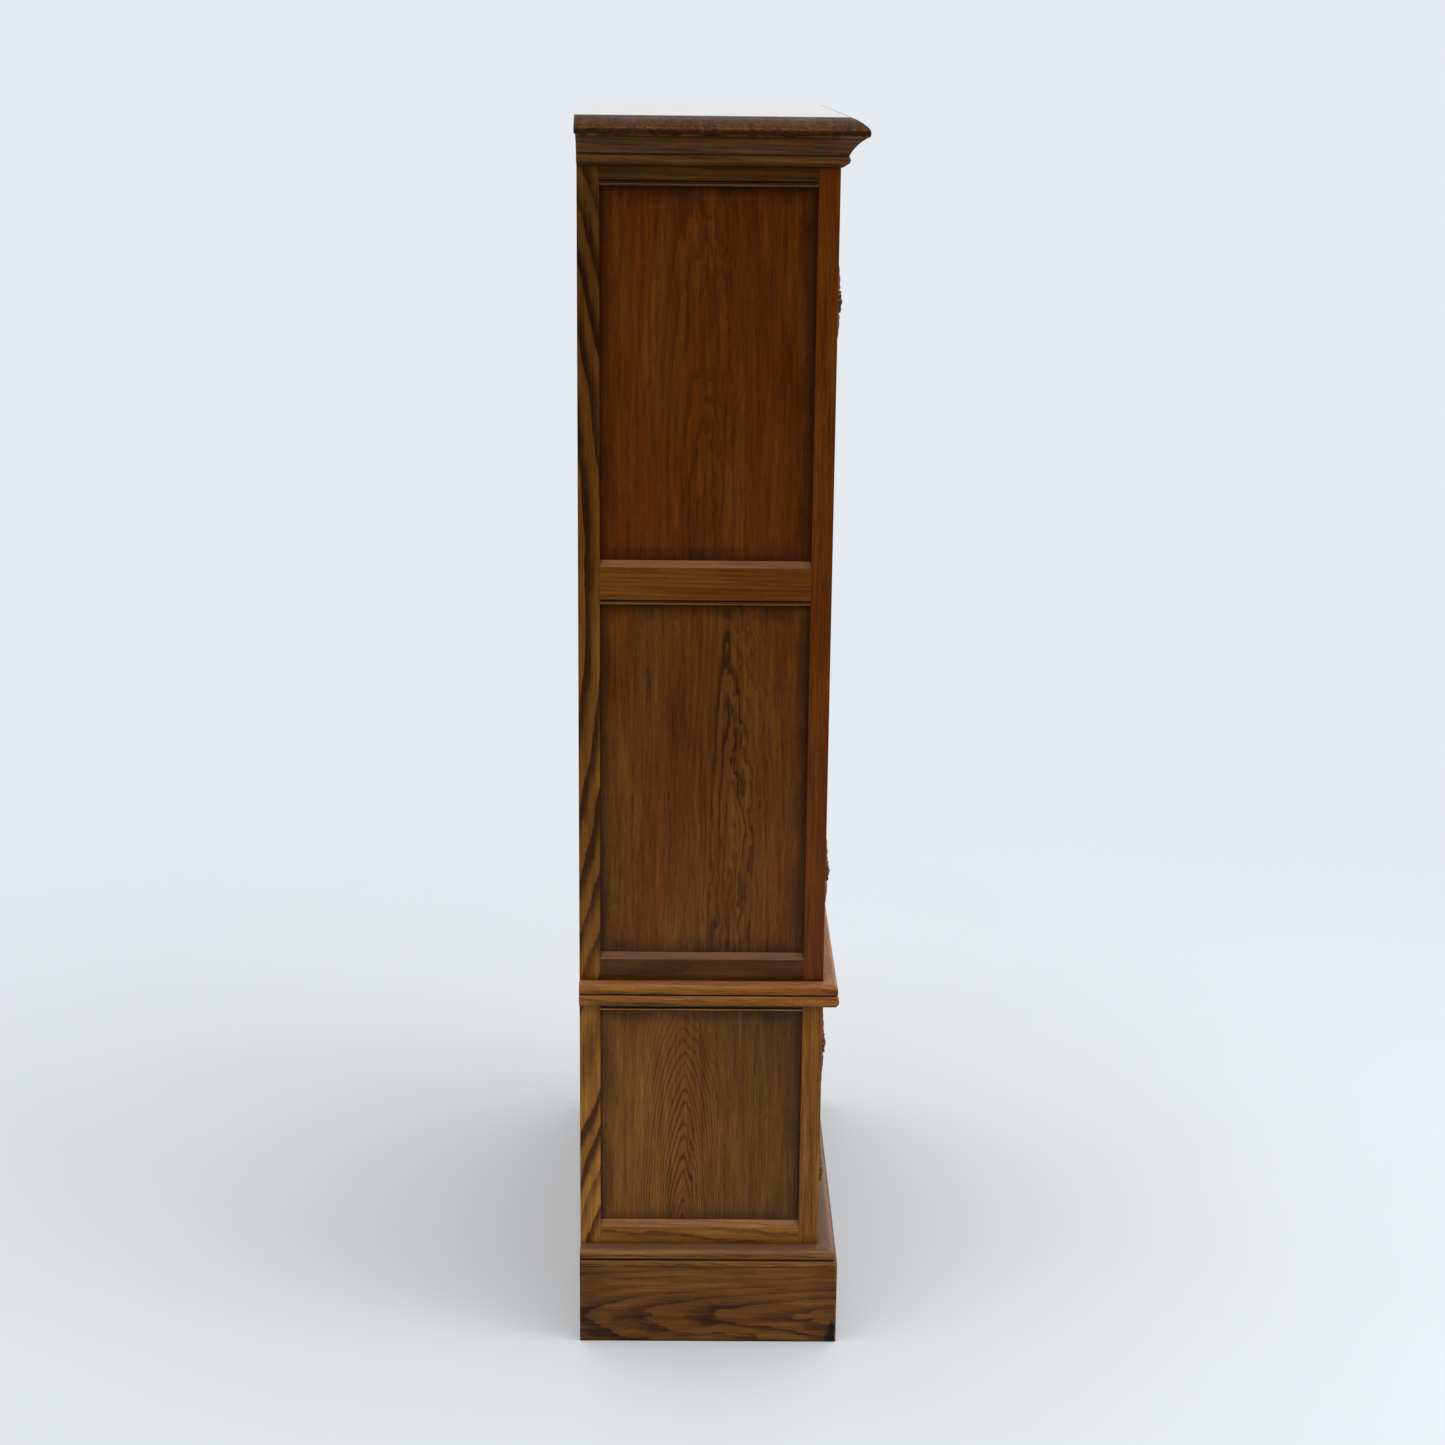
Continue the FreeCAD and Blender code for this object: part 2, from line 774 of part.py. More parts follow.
def make_door(index):
    low, high = door_box(index)
    name = f"door_{index + 1}"
    upright = door_stile(index)
    top_rail = door_cross_rail(index, f"{name}_top_rail", high[2], high[2] - door_rail, -1.0)
    round_top(top_rail, f"{name}_top_rail", high[2])
    bottom_rail = door_cross_rail(index, f"{name}_bottom_rail", low[2], low[2] + door_rail, 1.0)
    group(f"{name}_frame", [upright, mirror(upright, f"{name}_stile_other"), top_rail, bottom_rail])

    middle = front + door_thickness / 2.0
    slot = glass_thickness / 2.0
    sight = [low[0] + door_rail, low[2] + door_rail, high[0] - door_rail, high[2] - door_rail]
    glass_low = (sight[0] - glass_tongue, middle - slot, sight[1] - glass_tongue)
    glass_high = (sight[2] + glass_tongue, middle + slot, sight[3] + glass_tongue)
    keep(f"{name}_glass", slab(f"{name}_glass", glass_low, glass_high))
    make_cames(name, sight, middle - slot)
    make_door_knobs(index, name, low)


def make_cames(name, sight, glass_face):
    """Lead strips on the front of the glass: a border and a lattice of upright rectangles."""
    near = glass_face - came_proud
    column_step = (sight[2] - sight[0] - came_width) / float(came_columns)
    row_step = (sight[3] - sight[1] - came_width) / float(came_rows)
    bars = []
    for column in range(came_columns + 1):
        start = sight[0] + column_step * float(column)
        bars.append(slab(f"{name}_came_upright_{column}",
                         (start, near, sight[1]), (start + came_width, glass_face, sight[3])))
    for row in range(came_rows + 1):
        start = sight[1] + row_step * float(row)
        bars.append(slab(f"{name}_came_level_{row}",
                         (sight[0], near, start), (sight[2], glass_face, start + came_width)))
    lattice = doc.addObject("Part::MultiFuse", f"{name}_cames")
    lattice.Shapes = bars
    lattice.Refine = True
    keep(f"{name}_cames", lattice)


def knob_outline(length, radius):
    """A turned knob: a round foot, a hollow neck, a full edge and a low crown."""
    return [
        (zero, zero),
        (radius * 0.6, zero),
        (radius * 0.6, length * 0.12, -0.3),
        (radius * 0.42, length * 0.42),
        (radius * 0.82, length * 0.58, 0.8),
        (radius * 0.82, length * 0.86),
        (radius * 0.45, length * 0.97),
        (zero, length),
    ]


def make_knob(name, length, radius, across, height):
    """A knob that stands out of a front, its axis along -Y."""
    body = new_body(name)
    spin(body, f"{name}_turning", knob_outline(length, radius))
    body.Placement.Rotation = FreeCAD.Rotation(Vector(1, 0, 0), 90)
    bind(body, "Placement.Base.x", across)
    bind(body, "Placement.Base.y", front)
    bind(body, "Placement.Base.z", height)
    return body


def make_door_knobs(index, name, low):
    height = low[2] + door_rail / 2.0
    knob = make_knob(f"{name}_knob", door_knob_length, door_knob_radius, -knob_spacing / 2.0, height)
    both_sides(f"{name}_knobs", [knob])


# ---------------------------------------------------------------- drawers

drawer_bay_height = (waist_bottom - plinth_cap_top - board * float(drawer_count)) / float(drawer_count)


def drawer_bay_bottom(index):
    return plinth_cap_top + board + (drawer_bay_height + board) * float(index)


def make_drawer(index):
    name = f"drawer_{index + 1}"
    bottom = drawer_bay_bottom(index)
    low = (-post_inside + drawer_gap, front, bottom + drawer_gap)
    high = (post_inside - drawer_gap, front + drawer_front, bottom + drawer_bay_height - drawer_gap)
    keep(f"{name}_front", slab(f"{name}_front", low, high))

    start = front + drawer_front
    end = start + drawer_box_length
    foot = low[2]
    head = foot + drawer_box_height
    wall = slab(f"{name}_wall", (low[0], start, foot), (low[0] + drawer_side, end, head))
    inner = -(low[0] + drawer_side)
    floor_bottom = foot + drawer_floor_rise
    floor_top = floor_bottom + drawer_bottom
    rear = slab(f"{name}_rear", (-inner, end - drawer_side, floor_top), (inner, end, head - drawer_rear_drop))
    floor = slab(f"{name}_floor", (-inner, start, floor_bottom), (inner, end, floor_top))
    walls = [wall, mirror(wall, f"{name}_wall_other"), rear, floor]
    group(f"{name}_box", walls)

    height = (low[2] + high[2]) / 2.0
    knob = make_knob(f"{name}_knob", drawer_knob_length, drawer_knob_radius, -knob_spacing / 2.0, height)
    both_sides(f"{name}_knobs", [knob])


def make_drawer_guides():
    """Strips that keep each drawer in line, in the space between the posts and the back."""
    strips = []
    for index in range(drawer_count):
        bottom = drawer_bay_bottom(index)
        strips.append(slab(f"drawer_guide_{index + 1}", (-frame_inside, post_back, bottom),
                           (-post_inside, inner_back, bottom + drawer_guide_height)))
    both_sides("drawer_guides", strips)


# ---------------------------------------------------------------- plinth inside

def make_plinth_inside():
    """A rail across the back and glue blocks in the corners."""
    rail_back = back - back_inset
    keep("plinth_back_rail", slab("plinth_back_rail", (-frame_inside, rail_back - board, zero),
                                  (frame_inside, rail_back, base_rail_bottom)))
    block = slab("front_corner_block", (-side, post_back, zero),
                 (-side + post_width, post_back + post_width, base_rail_bottom))
    both_sides("plinth_corner_blocks", [block])


# ---------------------------------------------------------------- carved motifs

def make_motif(place, height):
    """A round rosette between two pointed leaves, laid on the front post."""
    name = f"motif_{place + 1}"
    body = new_body(name)
    tip = motif_length / 2.0
    shoulder = motif_length * 0.225
    wide = motif_width * 0.4
    neck = motif_width * 0.3
    centre = -(side + post_inside) / 2.0
    leaves = [
        (centre, height - tip, leaf_curve),
        (centre + wide, height - shoulder, leaf_neck_curve),
        (centre + neck, height, leaf_neck_curve),
        (centre + wide, height + shoulder, leaf_curve),
        (centre, height + tip, leaf_curve),
        (centre - wide, height + shoulder, leaf_neck_curve),
        (centre - neck, height, leaf_neck_curve),
        (centre - wide, height - shoulder, leaf_curve),
    ]
    add(body, "Pad", f"{name}_leaves", "XZ_Plane", -front, leaves, leaf_height)
    add_round(body, "Pad", f"{name}_rosette", "XZ_Plane", -front, (centre, height), motif_width / 2.0,
              rosette_height)
    return body


# ---------------------------------------------------------------- the whole bookcase

ring("plinth_board", plinth_board_profile(), plinth_reach, back)
ring("plinth_moulding", plinth_cap_profile(), plinth_reach, back)
ring("waist_moulding", waist_profile(), waist_reach, back)
ring("cornice_moulding", cornice_profile(), cornice_reach, back)
make_top_board()
make_base_sides()
make_upper_sides()
make_boards()
make_guides()
make_plinth_inside()
make_drawer_guides()
for bay in range(bay_count):
    make_shoes(bay)
    make_door(bay)
for drawer in range(drawer_count):
    make_drawer(drawer)
both_sides("carved_motifs", [make_motif(place, height) for place, height in enumerate(motif_heights)])

doc.recompute()


# ---------------------------------------------------------------- checks and files

def check():
    for item in doc.Objects:
        if "Invalid" in item.State or "Error" in item.State:
            raise RuntimeError(f"{item.Name} did not rebuild: {item.State}")
    for name, item in nodes.items():
        if item.Shape.isNull() or not item.Shape.isValid() or not item.Shape.Solids:
            raise RuntimeError(f"{name} has no valid solid")


def write():
    os.makedirs("parts", exist_ok=True)
    for name, item in nodes.items():
        item.Shape.exportStep(f"parts/{name}.step")
        box = item.Shape.BoundBox
        print(f"{name}: {len(item.Shape.Solids)} solids, x {box.XMin:.1f} {box.XMax:.1f}, "
              f"y {box.YMin:.1f} {box.YMax:.1f}, z {box.ZMin:.1f} {box.ZMax:.1f}")


check()
write()
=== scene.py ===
"""Looks for an oak barrister bookcase: stained and waxed oak, leaded glass, brass and lead.

Metres. +Z is up and -Y is the front of the bookcase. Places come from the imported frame."""
import functools
import math
from dataclasses import dataclass
from fnmatch import fnmatch

import bmesh
import bpy
from mathutils import Matrix, Vector


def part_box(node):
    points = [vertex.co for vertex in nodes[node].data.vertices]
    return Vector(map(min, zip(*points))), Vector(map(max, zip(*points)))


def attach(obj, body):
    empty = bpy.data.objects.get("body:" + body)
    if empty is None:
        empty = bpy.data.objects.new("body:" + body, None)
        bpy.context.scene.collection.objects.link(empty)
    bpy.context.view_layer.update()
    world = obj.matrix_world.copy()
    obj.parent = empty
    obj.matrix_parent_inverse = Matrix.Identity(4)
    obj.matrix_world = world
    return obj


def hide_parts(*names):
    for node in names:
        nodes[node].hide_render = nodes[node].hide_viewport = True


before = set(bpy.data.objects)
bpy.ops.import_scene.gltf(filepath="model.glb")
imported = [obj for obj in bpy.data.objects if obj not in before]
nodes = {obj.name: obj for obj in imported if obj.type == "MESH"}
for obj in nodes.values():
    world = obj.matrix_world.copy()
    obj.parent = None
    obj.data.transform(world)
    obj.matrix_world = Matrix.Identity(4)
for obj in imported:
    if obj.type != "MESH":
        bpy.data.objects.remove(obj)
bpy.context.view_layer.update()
MM = 0.001

# ---- places read from the frame

upright_low, upright_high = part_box("upper_stiles")
side_panel_low, side_panel_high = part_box("upper_side_panels")
base_panel_low, base_panel_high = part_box("base_side_panels")
waist_low, waist_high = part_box("waist_moulding_left")
plinth_cap_low, plinth_cap_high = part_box("plinth_moulding_left")
cornice_low, cornice_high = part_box("cornice_moulding_left")
middle_rail_height = (side_panel_low.z + side_panel_high.z) / 2.0
PANEL_TONGUE = 6.0 * MM
QUIRK_RISE = 5.75 * MM
SIDE = upright_high.x
FRONT = upright_low.y
BACK = upright_high.y
MIDDLE = (FRONT + BACK) / 2.0
DOORS = sum(name.startswith("door_") and name.endswith("_glass") for name in nodes)
DRAWERS = sum(name.startswith("drawer_") and name.endswith("_front") for name in nodes)


def solids(name):
    """The box of each separate solid in a CAD node, in order of height and then of place."""
    shape = bmesh.new()
    shape.from_mesh(nodes[name].data)
    bmesh.ops.remove_doubles(shape, verts=shape.verts, dist=0.01 * MM)
    seen = set()
    boxes = []
    for first in shape.verts:
        if first in seen:
            continue
        seen.add(first)
        group = [first]
        for vert in group:
            for edge in vert.link_edges:
                other = edge.other_vert(vert)
                if other not in seen:
                    seen.add(other)
                    group.append(other)
        low = Vector(min(vert.co[axis] for vert in group) for axis in range(3))
        high = Vector(max(vert.co[axis] for vert in group) for axis in range(3))
        boxes.append((low, high))
    shape.free()
    return sorted(boxes, key=lambda box: (round(box[0].z, 4), round(box[0].x, 4)))


panel_boxes = solids("upper_side_panels")
middle_rail_low = min(high.z for low, high in panel_boxes)
middle_rail_high = max(low.z for low, high in panel_boxes)


# ---- shader building

class Nodes:
    """A node tree. Most methods add a node and give back its output."""

    def __init__(self, tree):
        self.tree = tree
        self.tree.nodes.clear()

    def add(self, kind, **settings):
        node = self.tree.nodes.new(kind)
        for name, value in settings.items():
            setattr(node, name, value)
        return node

    def feed(self, socket, value):
        if isinstance(value, bpy.types.NodeSocket):
            self.tree.links.new(value, socket)
        else:
            socket.default_value = value

    def feed_each(self, sockets, *values):
        for socket, value in zip(sockets, values):
            self.feed(socket, value)

    def math(self, operation, first, second=0.0, third=0.0):
        node = self.add("ShaderNodeMath", operation=operation)
        self.feed_each(node.inputs, first, second, third)
        return node.outputs[0]

    def total(self, *values):
        return functools.reduce(lambda first, second: self.math("ADD", first, second), values)

    def times(self, *values):
        return functools.reduce(lambda first, second: self.math("MULTIPLY", first, second), values)

    def less(self, value, taken):
        return self.math("SUBTRACT", value, taken)

    def size(self, value):
        return self.math("ABSOLUTE", value)

    def reach(self, *parts):
        """The length of the line with these parts along the axes."""
        return self.math("SQRT", self.total(*(self.math("POWER", part, 2.0) for part in parts)))

    def swing(self, value, reach):
        """A noise of about 0.5 turned into one of about 0 that reaches this far each way."""
        return self.math("MULTIPLY_ADD", value, 2.0 * reach, -reach)

    def pick(self, test, off, on):
        """off where test is 0, on where it is 1."""
        node = self.add("ShaderNodeMix", data_type="FLOAT")
        self.feed_each(node.inputs[0:1] + node.inputs[2:4], test, off, on)
        return node.outputs[0]

    def above(self, value, limit):
        return self.math("GREATER_THAN", value, limit)

    def split(self, vector):
        node = self.add("ShaderNodeSeparateXYZ")
        self.feed(node.inputs[0], vector)
        return node.outputs

    def join(self, x, y, z):
        node = self.add("ShaderNodeCombineXYZ")
        self.feed_each(node.inputs, x, y, z)
        return node.outputs[0]

    def noise(self, vector, scale=1.0, detail=2.0, roughness=0.5):
        node = self.add("ShaderNodeTexNoise")
        for name, value in (("Vector", vector), ("Scale", scale), ("Detail", detail), ("Roughness", roughness)):
            self.feed(node.inputs[name], value)
        return node.outputs["Fac"]

    def grain(self, place, crossways, lengthways, detail=3.0, roughness=0.6):
        """Noise drawn out along the grain. The two numbers are how fine it is across and along."""
        across, depth, length = place
        drawn = self.join(self.times(across, crossways), self.times(depth, crossways), self.times(length, lengthways))
        return self.noise(drawn, 1.0, detail, roughness)

    def spread(self, value, low, high, to_low=0.0, to_high=1.0):
        """Maps low..high on to to_low..to_high, with soft ends."""
        node = self.add("ShaderNodeMapRange", interpolation_type="SMOOTHSTEP")
        self.feed_each(node.inputs, value, low, high, to_low, to_high)
        return node.outputs[0]

    def ramp(self, value, stops):
        node = self.add("ShaderNodeValToRGB")
        band = node.color_ramp
        while len(band.elements) < len(stops):
            band.elements.new(1.0)
        for element, (place, colour) in zip(band.elements, stops):
            element.position = place
            element.color = (*colour, 1.0)
        self.feed(node.inputs[0], value)
        return node.outputs[0]

    def mix(self, share, first, second, blend="MIX"):
        node = self.add("ShaderNodeMix", data_type="RGBA", blend_type=blend)
        self.feed(node.inputs[0], share)
        for socket, value in ((node.inputs[6], first), (node.inputs[7], second)):
            self.feed(socket, (*value, 1.0) if isinstance(value, tuple) else value)
        return node.outputs[2]

    def bump(self, height, strength, distance):
        node = self.add("ShaderNodeBump")
        for name, value in (("Strength", strength), ("Distance", distance), ("Height", height)):
            self.feed(node.inputs[name], value)
        return node.outputs[0]

    def corners(self, distance, outer=False):
        """0 in the open, towards 1 in quirks and corners, or where outer along the piece's own sharp edges."""
        node = self.add("ShaderNodeAmbientOcclusion", samples=6, inside=outer, only_local=outer)
        node.inputs["Distance"].default_value = distance
        return self.less(1.0, node.outputs["AO"])

    def blend(self, share, first, second):
        """One shader mixed into another."""
        node = self.add("ShaderNodeMixShader")
        self.feed_each(node.inputs, share, first, second)
        return node.outputs[0]


class Shader(Nodes):
    """A material: a principled shader, and the nodes that feed it."""

    def __init__(self, name):
        self.material = bpy.data.materials.new(name)
        self.material.use_nodes = True
        super().__init__(self.material.node_tree)
        self.output = self.add("ShaderNodeOutputMaterial")
        self.principled = self.add("ShaderNodeBsdfPrincipled")
        self.feed(self.output.inputs["Surface"], self.principled.outputs[0])
        coordinates = self.add("ShaderNodeTexCoord").outputs
        self.place = coordinates["Object"]
        self.facing = coordinates["Normal"]

    def set(self, **inputs):
        for name, value in inputs.items():
            self.feed(self.principled.inputs[name.replace("_", " ")], value)
        return self.material


def shade(colour, share):
    return tuple(share * part for part in colour)


# ---- oak

STAIN_DEEP = (0.0360, 0.0105, 0.0008)
STAIN_RED = (0.1520, 0.0310, 0.0006)
STAIN_RED_PALE = (0.2500, 0.0640, 0.0024)
STAIN_GOLD = (0.1520, 0.0600, 0.0075)
STAIN_GOLD_PALE = (0.2900, 0.1350, 0.0210)
# Dust, and a painted sheen as if lit from above, for faces turned up
DUST_AND_SHEEN = (0.4200, 0.2250, 0.1250)


@dataclass
class Cut:
    """How a board was sawn and what its figure is. Each value is a number or a shader output."""

    heart: tuple = (0.06, 0.70)  # where the middle of the log lies, across the grain and deep
    lean: tuple = (0.02, 0.03)  # how far it runs out of true
    ring: object = 4.5 * MM  # a year's growth
    width: object = 0.45  # the share of it that is dark
    lines: object = 0.35  # how dark
    near: object = None  # how far from the heart the dark lines carry
    peak: object = 0.0  # how pointed their arches are
    streaks: object = 1.0  # how strong the fibres are
    wobble: object = 1.0  # how much they wander
    gold: object = 0.4  # 0 for a red board, 1 for a golden one
    tone: object = 1.0  # how light the stain is, with the painted shade and highlight lines that some cuts add


AXES = {"X": (1, 2, 0), "Y": (0, 2, 1), "Z": (1, 0, 2)}

# How fine each kind of figure is, across and along the grain
BENDS = (7.0, 2.2)
RIPPLES = (70.0, 20.0)
BROAD_FIBRES = (120.0, 6.0)
MIDDLE_FIBRES = (330.0, 12.0)
FINE_FIBRES = (1100.0, 30.0)
PORES = (1500.0, 50.0)
RAYS = (75.0, 38.0)
STAIN_PATCHES = (11.0, 3.5)
HUE_PATCHES = (16.0, 3.0)


def board_number(s, axes, cells):
    """Three random numbers for the board that a point is in. cells gives each axis (start, width)."""
    steps = [s.math("FLOOR", s.math("DIVIDE", s.less(axis, start), width))
             for axis, (start, width) in zip(axes, cells)]
    node = s.add("ShaderNodeTexWhiteNoise", noise_dimensions="3D")
    s.feed(node.inputs["Vector"], s.join(*steps))
    return s.split(node.outputs["Color"])


def oak(name, along, cut, cells, grime_and_shade=0.75, wear=0.5, edges=None, fleck=0.3, loose=1.0, polish=None, turned=None,
        matched=True):
    """Stained, waxed oak as a solid: growth rings about the heart of a log, pores, rays and old wax, with painted shade
    in corners and a painted sheen on faces turned up.

    along is the grain's axis; cut, or what cut(s, x, y, z) gives, is how each board was sawn; cells tells
    boards apart, and loose is how freely their figure is shifted from board to board. turned(s, x) is 1 where the grain
    runs along Y in place of X, and matched pieces are alike left and right."""
    s = Shader("oak_" + name)
    x, y, z = s.split(s.place)
    chance = board_number(s, (x, y, z), cells)
    axes = (x, y, z)
    if turned is not None:
        turn = turned(s, x)
        axes = (s.pick(turn, x, y), s.pick(turn, y, x), z)
    elif matched and along != "X":
        axes = (s.times(s.size(x), -1.0), y, z)
    sawn = cut(s, *axes) if callable(cut) else cut
    across, depth, run = (axes[place] for place in AXES[along])
    length = s.total(run, s.times(chance[0], 7.0))
    wide = s.total(across, s.swing(chance[1], 0.015 * loose))
    deep = s.total(depth, s.swing(chance[2], 0.010 * loose))
    place = (across, depth, length)

    # The fibres wander: slow bends along the board, quicker ones across it
    bend = s.swing(s.grain(place, *BENDS, 3.0, 0.55), 0.030)
    ripple = s.swing(s.grain(place, *RIPPLES), 0.0085)
    drift = s.times(s.total(bend, ripple), sawn.wobble)

    # Distance from the heart gives the rings, and each year its own strength
    out = [s.less(s.total(value, drift), s.math("MULTIPLY_ADD", run, lean, heart))
           for value, lean, heart in zip((wide, deep), sawn.lean, sawn.heart)]
    radius = s.total(s.reach(*out), s.times(s.size(out[0]), sawn.peak))
    years = s.math("DIVIDE", radius, sawn.ring)
    growth = s.math("FRACT", years)
    year = s.add("ShaderNodeTexWhiteNoise", noise_dimensions="1D")
    s.feed(year.inputs["W"], s.math("FLOOR", years))
    early = s.times(s.spread(growth, 0.0, 0.10), s.spread(growth, 0.12, sawn.width, 1.0, 0.0))
    band = s.times(early, s.spread(year.outputs["Value"], 0.0, 1.0, 0.45, 1.0))
    if sawn.near is not None:
        band = s.times(band, s.spread(s.size(out[0]), s.times(sawn.near, 0.25), sawn.near, 1.0, 0.22))

    # Fibres at three sizes, and pores thick in the early wood
    broad = s.swing(s.grain(place, *BROAD_FIBRES), 1.0)
    middle = s.swing(s.grain(place, *MIDDLE_FIBRES, 3.0, 0.65), 1.0)
    fine = s.swing(s.grain(place, *FINE_FIBRES, 2.0), 1.0)
    dashes = s.grain(place, *PORES, 2.0, 0.55)
    pores = s.times(s.spread(dashes, 0.54, 0.68), s.spread(early, 0.0, 1.0, 0.35, 1.0))
    rays = s.times(s.spread(s.grain(place, *RAYS), 0.60, 0.70), fleck)
    stain = s.swing(s.grain(place, *STAIN_PATCHES), 1.0)

    # Colour: how much stain each fibre took up, on a board that is redder or more golden
    figure = s.times(s.total(s.times(broad, 0.55), s.times(middle, 0.45), s.times(fine, 0.30)), sawn.streaks)
    level = s.total(0.56, figure, s.times(stain, 0.24), s.times(rays, 0.25), s.swing(chance[1], 0.05))
    level = s.less(level, s.times(band, sawn.lines))
    red = s.ramp(level, [(0.10, STAIN_DEEP), (0.52, STAIN_RED), (0.95, STAIN_RED_PALE)])
    gold = s.ramp(level, [(0.10, STAIN_DEEP), (0.52, STAIN_GOLD), (0.95, STAIN_GOLD_PALE)])
    hue = s.total(sawn.gold, s.swing(s.grain(place, *HUE_PATCHES, 2.0, 0.5), 0.55),
                  s.swing(chance[2], 0.12 * loose))
    colour = s.mix(s.spread(hue, 0.0, 1.0), red, gold)
    colour = s.mix(s.times(pores, 0.62), colour, shade(STAIN_DEEP, 0.45))
    tone = s.times(sawn.tone, s.total(1.0, s.swing(chance[0], 0.08 * loose)))
    colour = s.mix(1.0, colour, s.join(tone, tone, tone), "MULTIPLY")

    # Use: rubbed arrises, and old polish with painted shade in the corners
    if wear:
        rub = s.times(s.spread(s.corners(2.5 * MM, outer=True), 0.25, 0.70),
                      s.spread(s.noise(s.place, 34.0, 4.0, 0.7), 0.42, 0.66))
        colour = s.mix(s.times(rub, wear), colour, shade(STAIN_GOLD_PALE, 1.25))
    # A darker band where a panel meets its frame: old wax and painted shade
    if edges is not None:
        colour = s.mix(edges(s, x, y, z), colour, shade(STAIN_DEEP, 0.60))
    # Faces turned up are lighter: dust, and a painted sheen as if lit from above
    upward = s.split(s.facing)[2]
    colour = s.mix(s.spread(upward, 0.25, 0.75, 0.0, 0.30 if polish is None else 0.0), colour, DUST_AND_SHEEN)
    # Darker into corners and recesses, found by occlusion: old polish, and painted shade
    wax_and_painted_shade = s.spread(s.corners(12.0 * MM), 0.15, 0.80, 0.0, grime_and_shade)
    colour = s.mix(wax_and_painted_shade, colour, shade(STAIN_DEEP, 0.35))

    # Surface: open grain under a thin, slightly uneven wax, or a full polish where the board has one
    relief = s.total(s.times(pores, -1.0), s.times(middle, 0.20), s.times(band, -0.30))
    worn = s.noise(s.place, 21.0, 3.0, 0.6)
    rough = s.total(s.spread(worn, 0.3, 0.7, 0.34, 0.46), s.times(pores, 0.20), s.times(wax_and_painted_shade, 0.15))
    return s.set(Base_Color=colour, Roughness=rough, Normal=s.bump(relief, 0.5, 0.25 * MM),
                 Specular_IOR_Level=0.13, Coat_Roughness=0.20 if polish is None else 0.06,
                 Coat_Weight=0.05 if polish is None else s.spread(upward, 0.985, 0.998, 0.05, polish))


def panel_edge_wax_and_shade(s, x, y, z):
    """Old wax gathers where a side panel meets its frame, and painted shade from the frame lies there too: deepest at
    the sight line.
    """
    upper = s.above(z, (base_panel_high.z + side_panel_low.z) / 2.0)
    top = s.above(z, middle_rail_height)
    tongue = PANEL_TONGUE
    low = s.pick(upper, base_panel_low.z + tongue, s.pick(top, side_panel_low.z + tongue, middle_rail_high + tongue))
    high = s.pick(upper, base_panel_high.z - tongue, s.pick(top, middle_rail_low - tongue, side_panel_high.z - tongue))
    near = s.math("MINIMUM", s.less(z, low), s.less(high, z))
    near = s.math("MINIMUM", near, s.less(y, side_panel_low.y + tongue))
    near = s.math("MINIMUM", near, s.less(side_panel_high.y - tongue, y))
    uneven = s.swing(s.noise(s.place, 14.0, 3.0, 0.6), 0.022)
    return s.spread(s.total(near, uneven), -0.002, 0.030, 0.60, 0.0)


def cut_panels(s, x, y, z):
    """Three flat-sawn panels a side: arches below, a narrow flame in the middle, plain red oak above."""
    upper = s.above(z, (base_panel_high.z + side_panel_low.z) / 2.0)
    top = s.above(z, middle_rail_height)

    def per_panel(base, lower, high):
        return s.pick(upper, base, s.pick(top, lower, high))

    return Cut(
        heart=(per_panel(MIDDLE + 0.026, MIDDLE - 0.052, MIDDLE - 0.010),
               per_panel(-SIDE - 0.014, -SIDE - 0.044, -SIDE - 0.120)),
        lean=(per_panel(0.0, 0.012, 0.012), per_panel(0.190, 0.075, 0.110)),
        ring=per_panel(4.6 * MM, 8.5 * MM, 10.0 * MM),
        lines=per_panel(s.spread(z, 0.41, 0.52, 0.37, 0.17), 0.34, 0.16),
        near=per_panel(0.085, 0.052, 0.085),
        streaks=per_panel(0.55, 0.58, 0.60),
        gold=per_panel(0.85, 0.56, 0.26),
        tone=per_panel(s.spread(y, side_panel_low.y, side_panel_high.y, 0.90, 1.36), 1.02, 0.96),
        wobble=per_panel(0.45, 1.15, 1.2),
        width=per_panel(0.55, 0.70, 0.80),
        peak=per_panel(0.22, 0.0, 0.0),
    )


def cut_uprights(s, x, y, z):
    """Straight red posts in front, and back stiles whose coarse growth bows right across them."""
    rear = s.above(y, MIDDLE)
    upper = s.above(z, waist_high.z)
    bow = s.times(s.math("POWER", s.less(z, middle_rail_height), 2.0), 0.29)
    behind = s.above(s.split(s.facing)[1], 0.7)
    quiet = s.pick(behind, 1.0, 0.35)
    return Cut(
        heart=(s.pick(rear, 0.30, s.total(0.36, s.pick(upper, 0.0, bow))), -SIDE + 0.02),
        lean=(s.pick(rear, 0.015, s.pick(upper, -0.38, 0.0)), 0.02),
        ring=s.pick(rear, 5.0 * MM, 23.0 * MM),
        lines=s.times(s.pick(rear, 0.16, 0.60), quiet),
        streaks=s.pick(rear, 0.75, 0.55),
        gold=s.pick(rear, s.pick(upper, 0.60, 0.22), s.pick(upper, 1.05, 0.75)),
        tone=s.pick(rear, s.pick(upper, 1.55, 1.0), s.pick(upper, 1.95, s.spread(z, 0.6, 1.7, 1.50, 0.90))),
        wobble=s.pick(rear, 0.5, 0.45),
        width=s.pick(rear, 0.45, 0.75),
    )


